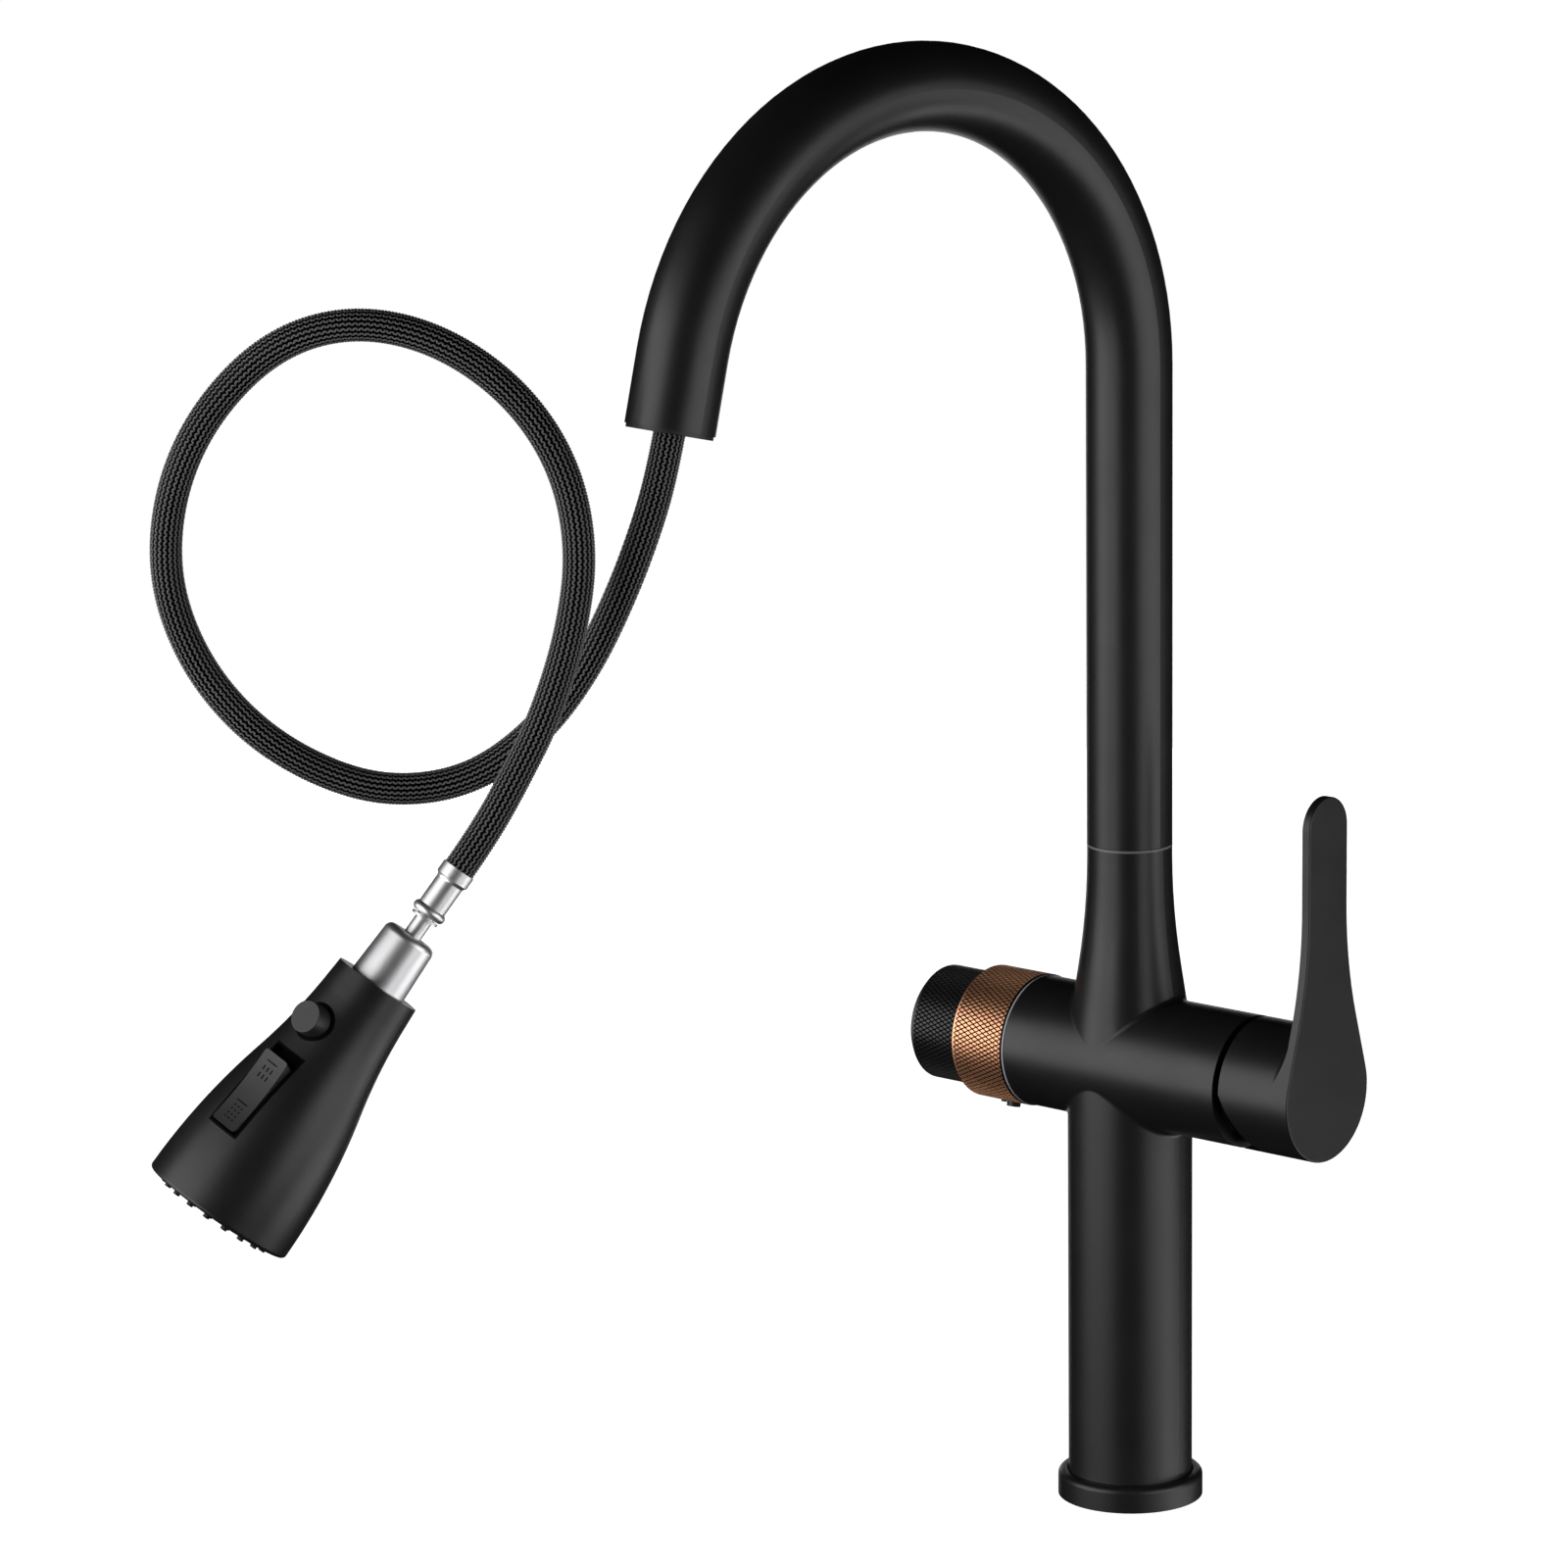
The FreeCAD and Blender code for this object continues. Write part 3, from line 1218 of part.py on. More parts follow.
swivel = Placement(Vector(0, 0, 0), Rotation(Vector(0, 0, 1), value("spout_rest_turn")))
head_axis = HEAD_TURN.multVec(Vector(0, 0, 1))
hose_end = Vector(*HOSE_ROUTE[-1])
head_rim = hose_end - head_axis * value("head_from_hose")
head_placement = swivel * Placement(head_rim, HEAD_TURN)
place_all(["gooseneck_tube", "spout_spigot", "spigot_orings", "hose", "hose_in_spout"], swivel)
place_all(["guide_bush"], swivel * outlet_placement)
place_all(["hose_ferrule", "ball_stud", "ball_seat", "socket_sleeve", "head_shell", "button_socket",
           "rocker_tray", "rocker_pin", "rocker", "pause_button", "water_core", "check_valve",
           "spray_face", "spray_nozzles", "aerator"], head_placement)
parts["button_spring"].Placement = head_placement * parts["button_spring"].Placement
knob_axis = Vector(0, 0, value("cross_height"))
knob_turned = Rotation(Vector(1, 0, 0), value("knob_rest_turn"))
place_all(["knob_cap", "copper_ring", "ring_finger_stud", "ring_set_screw", "knob_grub_screw"],
          Placement(Vector(0, 0, 0), knob_turned, knob_axis))
doc.recompute()

for item in doc.Objects:
    if "Invalid" in item.State or "Error" in item.State:
        raise RuntimeError(f"{item.Name} is {item.State}")
os.makedirs("parts", exist_ok=True)
for part_label, part in parts.items():
    if part.Shape.isNull() or not part.Shape.isValid() or not part.Shape.Solids:
        raise RuntimeError(f"{part_label} has no valid solid")
    part.Shape.exportStep(f"parts/{part_label}.step")
print(len(parts), "parts written; head rim", head_placement.Base, "axis", swivel.Rotation.multVec(head_axis))
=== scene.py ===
"""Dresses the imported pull-down kitchen faucet: coating, copper, chrome, knurls, braided hose and stage.

Everything is in metres, in the frame's own axes: +Z up, the cross tube along X, the lever on +X.
"""
import json
import math

import bpy
from mathutils import Matrix, Vector


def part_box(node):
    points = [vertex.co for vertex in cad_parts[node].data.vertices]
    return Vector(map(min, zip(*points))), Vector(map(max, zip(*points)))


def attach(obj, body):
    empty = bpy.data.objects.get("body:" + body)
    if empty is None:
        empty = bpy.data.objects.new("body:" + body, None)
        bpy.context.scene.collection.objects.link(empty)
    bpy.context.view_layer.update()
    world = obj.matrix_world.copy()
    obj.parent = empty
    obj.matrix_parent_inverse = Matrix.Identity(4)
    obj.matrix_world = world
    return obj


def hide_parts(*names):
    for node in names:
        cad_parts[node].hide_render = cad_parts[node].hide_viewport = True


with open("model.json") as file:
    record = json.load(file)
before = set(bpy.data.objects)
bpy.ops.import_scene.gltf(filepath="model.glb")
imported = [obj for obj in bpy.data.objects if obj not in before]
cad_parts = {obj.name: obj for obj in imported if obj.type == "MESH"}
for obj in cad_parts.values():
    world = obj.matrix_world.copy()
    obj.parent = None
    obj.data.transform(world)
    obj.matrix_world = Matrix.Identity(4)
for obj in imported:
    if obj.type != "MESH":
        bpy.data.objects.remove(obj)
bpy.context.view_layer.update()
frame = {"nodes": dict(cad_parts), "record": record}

bl_info = {
    "name": "Pull-down faucet dresser",
    "version": (1, 0, 0),
    "blender": (4, 5, 0),
    "location": "View3D > Sidebar > Faucet",
    "description": "Builds the finishes, knurls, braided hose and studio of a pull-down kitchen faucet",
    "category": "Object",
}

MM = 0.001
CROSS_HEIGHT = 151 * MM
RING_RADIUS = 22.4 * MM
KNOB_RADIUS = 19.4 * MM
KNURL_MARGIN = 0.5 * MM      # plain edge on each side of the ring's knurl
KNOB_RIM = 2.6 * MM          # plain rim on the knob's outer side
TOOTH_TOP = 0.68             # a tooth's flat top, as a share of its foot
RING_GROOVES = (0.17 * MM, 0.01 * MM)      # depths at which the painted groove shade is full and gone
KNOB_GROOVES = (0.42 * MM, 0.1 * MM)
# painted shade: near-black colours laid where shade falls, in knurl grooves, between braid stitches and in
# recesses
PAINTED_SHADE_BLACK = (0.003, 0.003, 0.003)
RECESS_SHADE_BLACK = (0.002, 0.002, 0.002)
GRAIN_CLOUDS = 60.0          # scale of the cloudy roughness on every surface
NOISE_RANGE = (0.3, 0.7)     # the part of a noise's output that is stretched to the whole range


# ---------------------------------------------------------------- settings

class FaucetFinishSettings(bpy.types.PropertyGroup):
    """Colours and surface grain of the faucet's finishes."""

    coat_colour: bpy.props.FloatVectorProperty(
        name="Coat colour", description="Colour of the matte black coating",
        subtype="COLOR", size=3, min=0, max=1, default=(0.009, 0.009, 0.0095))
    coat_roughness: bpy.props.FloatProperty(
        name="Coat roughness", description="Middle roughness of the coating",
        subtype="FACTOR", min=0, max=1, default=0.4)
    copper_colour: bpy.props.FloatVectorProperty(
        name="Copper colour", description="Colour of the teeth of the knurled ring",
        subtype="COLOR", size=3, min=0, max=1, default=(0.86, 0.44, 0.25))
    # painted shade: this colour is painted down in the ring's grooves and over its plain inner shoulder
    groove_shade_colour: bpy.props.FloatVectorProperty(
        name="Groove shade colour", description="Darker colour down in the grooves of the knurled ring",
        subtype="COLOR", size=3, min=0, max=1, default=(0.02, 0.008, 0.005))
    plastic_colour: bpy.props.FloatVectorProperty(
        name="Plastic colour", description="Colour of the button, rocker and spray face",
        subtype="COLOR", size=3, min=0, max=1, default=(0.016, 0.016, 0.017))
    braid_colour: bpy.props.FloatVectorProperty(
        name="Braid colour", description="Colour of the hose's nylon yarn",
        subtype="COLOR", size=3, min=0, max=1, default=(0.14, 0.14, 0.144))


class FaucetKnurlSettings(bpy.types.PropertyGroup):
    """Teeth of the knurled ring and knob."""

    teeth_round_ring: bpy.props.IntProperty(
        name="Teeth round the ring", description="Teeth in one row round the copper ring",
        min=24, max=200, default=87)
    teeth_round_knob: bpy.props.IntProperty(
        name="Teeth round the knob", description="Teeth in one row round the black knob",
        min=24, max=200, default=76)
    row_pitch: bpy.props.FloatProperty(
        name="Row pitch", description="Distance between two rows along the axis",
        subtype="DISTANCE", unit="LENGTH", min=0.0005, max=0.005, default=0.001506)
    tooth_height: bpy.props.FloatProperty(
        name="Tooth height", description="Depth of the grooves between the teeth",
        subtype="DISTANCE", unit="LENGTH", min=0.0001, max=0.001, default=0.00045)


class FaucetHoseSettings(bpy.types.PropertyGroup):
    """The braided hose."""

    diameter: bpy.props.FloatProperty(
        name="Diameter", description="Outer diameter of the braided hose",
        subtype="DISTANCE", unit="LENGTH", min=0.006, max=0.016, default=0.0103)
    length: bpy.props.FloatProperty(
        name="Length", description="Length of the hose from the spout to its ferrule",
        subtype="DISTANCE", unit="LENGTH", min=0.1, max=2, default=0.584)
    bands_round: bpy.props.IntProperty(
        name="Bands round", description="Lengthwise bands of stitches round the hose",
        min=8, max=48, default=18)
    stitch_pitch: bpy.props.FloatProperty(
        name="Stitch pitch", description="Distance along the hose from one stitch to the next",
        subtype="DISTANCE", unit="LENGTH", min=0.0005, max=0.006, default=0.00095)
    stitch_slant: bpy.props.FloatProperty(
        name="Stitch slant", description="Angle of a stitch to the hose's length",
        subtype="ANGLE", unit="ROTATION", min=0, max=1.5, default=0.8)
    yarn_thickness: bpy.props.FloatProperty(
        name="Yarn thickness", description="How far a stitch stands out of the hose",
        subtype="DISTANCE", unit="LENGTH", min=0.0001, max=0.001, default=0.00035)


class FaucetStageSettings(bpy.types.PropertyGroup):
    """Floor, lights and camera."""

    floor_colour: bpy.props.FloatVectorProperty(
        name="Floor colour", description="Colour of the pale floor",
        subtype="COLOR", size=3, min=0, max=1, default=(0.9, 0.9, 0.9))
    floor_glow: bpy.props.FloatProperty(
        name="Floor glow", description="Light that the backlit floor gives off",
        min=0, max=5, default=1.0)
    left_power: bpy.props.FloatProperty(
        name="Left power", description="Power of the softbox on the spout's side in watts",
        min=0, max=500, default=17.9)
    right_power: bpy.props.FloatProperty(
        name="Right power", description="Power of the softbox on the lever's side in watts",
        min=0, max=500, default=9.3)
    low_power: bpy.props.FloatProperty(
        name="Low power", description="Power of the softbox below the lever's side in watts",
        min=0, max=500, default=6.5)
    back_power: bpy.props.FloatProperty(
        name="Back power", description="Power of the weak softbox behind the faucet in watts",
        min=0, max=500, default=2.5)
    room_light: bpy.props.FloatProperty(
        name="Room light", description="Brightness of the dark room round the stage",
        min=0, max=1, default=0.006)


# ---------------------------------------------------------------- node helpers

def add_node(tree, kind, inputs=None, **settings):
    """Add a node, set its attributes, and fill or link its inputs by name or index."""
    node = tree.nodes.new(kind)
    for attribute, setting in settings.items():
        setattr(node, attribute, setting)
    for socket, source in (inputs or {}).items():
        if isinstance(source, bpy.types.NodeSocket):
            tree.links.new(source, node.inputs[socket])
        else:
            node.inputs[socket].default_value = source
    return node


def math_node(tree, operation, *values):
    """A Math node's output, with up to three values or sockets."""
    return add_node(tree, "ShaderNodeMath", dict(enumerate(values)), operation=operation).outputs[0]


def new_group(name, kind, inputs, outputs):
    """An empty node group with named sockets, and its input and output nodes."""
    tree = bpy.data.node_groups.new(name, kind)
    for label, socket_type, default in inputs:
        socket = tree.interface.new_socket(label, in_out="INPUT", socket_type=socket_type)
        if default is not None:
            socket.default_value = default
    for label, socket_type in outputs:
        tree.interface.new_socket(label, in_out="OUTPUT", socket_type=socket_type)
    return tree, tree.nodes.new("NodeGroupInput"), tree.nodes.new("NodeGroupOutput")


# ---------------------------------------------------------------- materials

def grain_group():
    """Shared surface grain: a cloudy roughness and a fine bump, on Object coordinates."""
    tree, given, result = new_group(
        "surface_grain", "ShaderNodeTree",
        [("Grain Scale", "NodeSocketFloat", 2500.0),
         ("Roughness Low", "NodeSocketFloat", 0.3),
         ("Roughness High", "NodeSocketFloat", 0.4),
         ("Depth", "NodeSocketFloat", 0.00001)],
        [("Roughness", "NodeSocketFloat"), ("Normal", "NodeSocketVector")])
    place = add_node(tree, "ShaderNodeTexCoord").outputs["Object"]
    clouds = add_node(tree, "ShaderNodeTexNoise", {"Vector": place, "Scale": GRAIN_CLOUDS, "Detail": 5.0})
    rough = add_node(tree, "ShaderNodeMapRange", {
        "Value": clouds.outputs[0], "From Min": NOISE_RANGE[0], "From Max": NOISE_RANGE[1],
        "To Min": given.outputs["Roughness Low"], "To Max": given.outputs["Roughness High"]})
    grain = add_node(tree, "ShaderNodeTexNoise", {
        "Vector": place, "Scale": given.outputs["Grain Scale"], "Detail": 2.0})
    bump = add_node(tree, "ShaderNodeBump", {
        "Height": grain.outputs[0], "Distance": given.outputs["Depth"], "Strength": 1.0})
    tree.links.new(rough.outputs[0], result.inputs["Roughness"])
    tree.links.new(bump.outputs[0], result.inputs["Normal"])
    return tree


def groove_group():
    """Shared mask of a knurl: 0 down in the grooves, 1 on the teeth, by distance from the cross axis.

    Past the inner edge, towards the cross tube, it is 0 throughout, so the plain inner shoulder gets the
    painted groove shade too.
    """
    tree, given, result = new_group(
        "groove_mask", "ShaderNodeTree",
        [("Axis Height", "NodeSocketFloat", 0.151),
         ("Groove Radius", "NodeSocketFloat", 0.022),
         ("Tooth Radius", "NodeSocketFloat", 0.0224),
         ("Inner Edge", "NodeSocketFloat", 0.0)],
        [("Mask", "NodeSocketFloat")])
    place = add_node(tree, "ShaderNodeTexCoord").outputs["Object"]
    parts = add_node(tree, "ShaderNodeSeparateXYZ", {0: place})
    rise = math_node(tree, "SUBTRACT", parts.outputs["Z"], given.outputs["Axis Height"])
    distance = math_node(tree, "SQRT", math_node(
        tree, "ADD", math_node(tree, "MULTIPLY", rise, rise),
        math_node(tree, "MULTIPLY", parts.outputs["Y"], parts.outputs["Y"])))
    mask = add_node(tree, "ShaderNodeMapRange", {
        "Value": distance, "From Min": given.outputs["Groove Radius"],
        "From Max": given.outputs["Tooth Radius"]})
    outside = math_node(tree, "LESS_THAN", parts.outputs["X"], given.outputs["Inner Edge"])
    tree.links.new(math_node(tree, "MULTIPLY", mask.outputs[0], outside), result.inputs["Mask"])
    return tree


def grained_material(name, colour, rough, spread, metallic=0.0, depth=0.00001, scale=2500.0,
                     shade=0.12, shade_scale=35.0, grooves=None, yarn_gap_shade=None, **shader):
    """A surface whose colour, roughness and bump vary as a real coating or metal does.

    Grooves, where given, are (groove shade colour, groove radius, tooth radius, inner edge): painted shade
    down in a knurl's grooves and past the inner edge.
    A yarn gap shade is painted shade on the core between the stitches of a braid. On a surface that isn't
    metal, the painted shade of either mask is made metallic, so that it has no sheen.
    """
    material = bpy.data.materials.new(name)
    material.use_nodes = True
    tree = material.node_tree
    principled = tree.nodes["Principled BSDF"]
    group = bpy.data.node_groups.get("surface_grain") or grain_group()
    grain = add_node(tree, "ShaderNodeGroup", node_tree=group)
    grain.inputs["Grain Scale"].default_value = scale
    grain.inputs["Roughness Low"].default_value = rough - spread
    grain.inputs["Roughness High"].default_value = rough + spread
    grain.inputs["Depth"].default_value = depth
    tree.links.new(grain.outputs["Roughness"], principled.inputs["Roughness"])
    tree.links.new(grain.outputs["Normal"], principled.inputs["Normal"])
    place = add_node(tree, "ShaderNodeTexCoord").outputs["Object"]
    mottle = add_node(tree, "ShaderNodeTexNoise", {
        "Vector": place, "Scale": shade_scale, "Detail": 4.0})
    ramp = add_node(tree, "ShaderNodeMapRange", {
        "Value": mottle.outputs[0], "From Min": NOISE_RANGE[0], "From Max": NOISE_RANGE[1],
        "To Min": 1 - shade, "To Max": 1 + shade})
    base = tuple(colour)
    lit = None
    # painted shade: the groove shade colour is mixed in where the mask is 0
    if grooves:
        groove_shade_colour, groove_radius, tooth_radius, inner_edge = grooves
        mask = add_node(tree, "ShaderNodeGroup",
                        node_tree=bpy.data.node_groups.get("groove_mask") or groove_group())
        mask.inputs["Axis Height"].default_value = CROSS_HEIGHT
        mask.inputs["Groove Radius"].default_value = groove_radius
        mask.inputs["Tooth Radius"].default_value = tooth_radius
        mask.inputs["Inner Edge"].default_value = inner_edge
        lit = mask.outputs["Mask"]
        base = add_node(tree, "ShaderNodeMix", {
            0: lit, 6: (*groove_shade_colour, 1), 7: (*colour, 1)}, data_type="RGBA").outputs[2]
    # painted shade: the core seen between the stitches gets a near-black colour
    if yarn_gap_shade:
        lit = add_node(tree, "ShaderNodeAttribute", attribute_name="yarn").outputs["Fac"]
        base = add_node(tree, "ShaderNodeMix", {
            0: lit, 6: (*yarn_gap_shade, 1), 7: (*colour, 1)}, data_type="RGBA").outputs[2]
    tint = add_node(tree, "ShaderNodeVectorMath", {0: base, 1: ramp.outputs[0]}, operation="MULTIPLY")
    tree.links.new(tint.outputs[0], principled.inputs["Base Color"])
    principled.inputs["Metallic"].default_value = metallic
    # painted shade: where a mask is 0 on a surface that isn't metal, the part is made metallic, so its
    # near-black colour gives no sheen
    if lit and not metallic:
        tree.links.new(math_node(tree, "SUBTRACT", 1.0, lit), principled.inputs["Metallic"])
    for socket, number in shader.items():
        principled.inputs[socket.replace("_", " ")].default_value = number
    return material


def turned_metal(name, colour, rough, metallic=1.0):
    """Bright metal with faint turning marks round its own axis."""
    return grained_material(name, colour, rough, 0.03, metallic=metallic, depth=0.000002, scale=1500.0,
                            shade=0.04)


def dress(node, material):
    """Give a carried-over CAD node its finished material."""
    slots = frame["nodes"][node].data.materials
    slots.clear()
    slots.append(material)


# ---------------------------------------------------------------- pieces

def finished(piece, body):
    """Attach a new piece to the body it rides on."""
    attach(piece, body)
    return piece


def mesh_object(name, mesh):
    """A new object at the origin for a mesh."""
    piece = bpy.data.objects.new(name, mesh)
    bpy.context.collection.objects.link(piece)
    return piece


def grown_by_nodes(name, base, tree, **sizes):
    """Run a Geometry Nodes tree on a base mesh and keep the plain result."""
    carrier = mesh_object(name + "_source", base)
    modifier = carrier.modifiers.new(name, "NODES")
    modifier.node_group = tree
    for item in tree.interface.items_tree:
        if item.in_out == "INPUT" and item.name in sizes:
            modifier[item.identifier] = sizes[item.name]
    carrier.update_tag()
    evaluated = carrier.evaluated_get(bpy.context.evaluated_depsgraph_get())
    mesh = bpy.data.meshes.new_from_object(evaluated)
    mesh.name = name
    bpy.data.objects.remove(carrier)
    return mesh_object(name, mesh)


def knurl_tree():
    """Rows of diamond teeth on a cylinder along X, every second row set off by half a tooth."""
    tree, given, result = new_group(
        "diamond_knurl", "GeometryNodeTree",
        [("Geometry", "NodeSocketGeometry", None),
         ("Radius", "NodeSocketFloat", 0.02),
         ("Start", "NodeSocketFloat", 0.0),
         ("Axis Height", "NodeSocketFloat", 0.0),
         ("Row Pitch", "NodeSocketFloat", 0.0015),
         ("Rows", "NodeSocketInt", 14),
         ("Teeth", "NodeSocketInt", 80),
         ("Height", "NodeSocketFloat", 0.00045),
         ("Material", "NodeSocketMaterial", None)],
        [("Geometry", "NodeSocketGeometry")])
    index = add_node(tree, "GeometryNodeInputIndex").outputs[0]
    teeth = given.outputs["Teeth"]
    pitch = given.outputs["Row Pitch"]
    start = given.outputs["Start"]
    row = math_node(tree, "FLOOR", math_node(tree, "DIVIDE", math_node(tree, "ADD", index, 0.5), teeth))
    column = math_node(tree, "SUBTRACT", index, math_node(tree, "MULTIPLY", row, teeth))
    parity = math_node(tree, "MODULO", row, 2.0)
    offset = math_node(tree, "MULTIPLY", parity, 0.5)
    turn = math_node(tree, "DIVIDE", math_node(tree, "ADD", column, offset), teeth)
    angle = math_node(tree, "MULTIPLY", turn, 2 * math.pi)
    along = math_node(tree, "ADD", start, math_node(tree, "MULTIPLY", row, pitch))
    sideways = math_node(tree, "MULTIPLY", math_node(tree, "SINE", angle),
                         math_node(tree, "MULTIPLY", given.outputs["Radius"], -1.0))
    upward = math_node(tree, "ADD", given.outputs["Axis Height"],
                       math_node(tree, "MULTIPLY", math_node(tree, "COSINE", angle),
                                 given.outputs["Radius"]))
    place = add_node(tree, "ShaderNodeCombineXYZ", {0: along, 1: sideways, 2: upward}).outputs[0]
    points = add_node(tree, "GeometryNodePoints", {
        "Count": math_node(tree, "MULTIPLY", given.outputs["Rows"], teeth), "Position": place})
    tooth = add_node(tree, "GeometryNodeMeshCone", {
        "Vertices": 4, "Radius Top": TOOTH_TOP, "Radius Bottom": 1.0, "Depth": 1.0})
    half_tooth = math_node(
        tree, "DIVIDE", math_node(tree, "MULTIPLY", given.outputs["Radius"], math.pi), teeth)
    scale = add_node(tree, "ShaderNodeCombineXYZ", {
        0: pitch, 1: half_tooth, 2: given.outputs["Height"]}).outputs[0]
    rotation = add_node(tree, "ShaderNodeCombineXYZ", {0: angle}).outputs[0]
    instances = add_node(tree, "GeometryNodeInstanceOnPoints", {
        "Points": points.outputs[0], "Instance": tooth.outputs["Mesh"],
        "Rotation": rotation, "Scale": scale})
    real = add_node(tree, "GeometryNodeRealizeInstances", {"Geometry": instances.outputs[0]})
    where = add_node(tree, "ShaderNodeSeparateXYZ", {
        0: add_node(tree, "GeometryNodeInputPosition").outputs[0]})
    last = math_node(tree, "ADD", start, math_node(
        tree, "MULTIPLY", math_node(tree, "SUBTRACT", given.outputs["Rows"], 1.0), pitch))
    kept = math_node(tree, "MAXIMUM", start, math_node(tree, "MINIMUM", last, where.outputs["X"]))
    cut = add_node(tree, "ShaderNodeCombineXYZ", {
        0: kept, 1: where.outputs["Y"], 2: where.outputs["Z"]}).outputs[0]
    trimmed = add_node(tree, "GeometryNodeSetPosition", {"Geometry": real.outputs[0], "Position": cut})
    painted = add_node(tree, "GeometryNodeSetMaterial", {
        "Geometry": trimmed.outputs[0], "Material": given.outputs["Material"]})
    tree.links.new(painted.outputs[0], result.inputs["Geometry"])
    return tree


def knurl(name, start, end, radius, teeth, material):
    """Teeth over a groove-deep band of a turned CAD node. Start and end are along X, in metres."""
    settings = bpy.context.scene.faucet_knurl
    tree = bpy.data.node_groups.get("diamond_knurl") or knurl_tree()
    intervals = round((end - start) / settings.row_pitch)
    piece = grown_by_nodes(name, bpy.data.meshes.new(name), tree, **{
        "Radius": radius, "Start": start, "Axis Height": CROSS_HEIGHT,
        "Row Pitch": (end - start) / intervals, "Rows": intervals + 1, "Teeth": teeth,
        "Height": settings.tooth_height, "Material": material})
    return finished(piece, "filter_knob")


def frame_slot(node):
    """The record's material slot of a CAD node."""
    for entry in frame["record"]["subparts"]:
        if entry["node"] == node:
            return entry["material_slot"]
    raise ValueError(f"no slot for {node}")


# ---------------------------------------------------------------- hose

SPOUT_TURN = Matrix.Rotation(math.radians(-6.55), 4, "Z")

# The hose's route in the spout's own frame, in metres, from the tube's mouth to the ferrule's rim.
HOSE_ROUTE = [
    (0.0, -0.1983, 0.3845),
    (-0.0005, -0.2015, 0.3710),
    (-0.0045, -0.2045, 0.3545),
    (-0.0130, -0.2075, 0.3335),
    (-0.0245, -0.2125, 0.3095),
    (-0.0370, -0.2220, 0.2885),
    (-0.0510, -0.2375, 0.2735),
    (-0.0675, -0.2565, 0.2700),
    (-0.0825, -0.2745, 0.2775),
    (-0.0950, -0.2915, 0.2925),
    (-0.1040, -0.3045, 0.3140),
    (-0.1080, -0.3115, 0.3400),
    (-0.1045, -0.3105, 0.3675),
    (-0.0950, -0.3030, 0.3920),
    (-0.0795, -0.2890, 0.4125),
    (-0.0615, -0.2725, 0.4200),
    (-0.0425, -0.2550, 0.4150),
    (-0.0255, -0.2390, 0.3990),
    (-0.0140, -0.2290, 0.3765),
    (-0.0090, -0.2265, 0.3500),
    (-0.0105, -0.2305, 0.3235),
    (-0.0155, -0.2375, 0.2980),
    (-0.0210, -0.2450, 0.2800),
    (-0.0260, -0.2532, 0.2635),
    (-0.0297, -0.2609, 0.2524),
]


HEAD_TURN = (
    Matrix.Rotation(math.radians(64.06), 4, "Z")
    @ Matrix.Rotation(math.radians(37.63), 4, "Y")
    @ Matrix.Rotation(math.radians(-54.09), 4, "Z"))
HEAD_FROM_HOSE = 43 * MM
HEAD_RIM = Vector(HOSE_ROUTE[-1]) - HEAD_TURN @ Vector((0, 0, HEAD_FROM_HOSE))
HEAD_PLACE = SPOUT_TURN @ Matrix.Translation(HEAD_RIM) @ HEAD_TURN


def smooth_line(route):
    """Points along the smooth spline that has the route's points as its controls."""
    curve = bpy.data.curves.new("hose_line", "CURVE")
    curve.dimensions = "3D"
    curve.resolution_u = 16
    spline = curve.splines.new("NURBS")
    spline.points.add(len(route) - 1)
    for point, place in zip(spline.points, route):
        point.co = (*(SPOUT_TURN @ Vector(place)), 1)
    spline.order_u = 3
    spline.use_endpoint_u = True
    carrier = bpy.data.objects.new("hose_line", curve)
    bpy.context.collection.objects.link(carrier)
    evaluated = carrier.evaluated_get(bpy.context.evaluated_depsgraph_get())
    mesh = bpy.data.meshes.new_from_object(evaluated)
    points = [vertex.co.copy() for vertex in mesh.vertices]
    bpy.data.objects.remove(carrier)
    return points, mesh


def stitch_mesh():
    """One yarn stitch of unit size: a low ridge, long in X, with pointed ends."""
    foot = [(-1, 0, 0), (-0.55, -1, 0), (0.55, -1, 0), (1, 0, 0), (0.55, 1, 0), (-0.55, 1, 0)]
    ridge = [(-0.5, 0, 1), (0.5, 0, 1)]
    faces = [(0, 1, 6), (1, 2, 7, 6), (2, 3, 7), (3, 4, 7), (4, 5, 6, 7), (5, 0, 6)]
    mesh = bpy.data.meshes.new("yarn_stitch")
    mesh.from_pydata(foot + ridge, [], faces)
    mesh.shade_smooth()
    return mesh


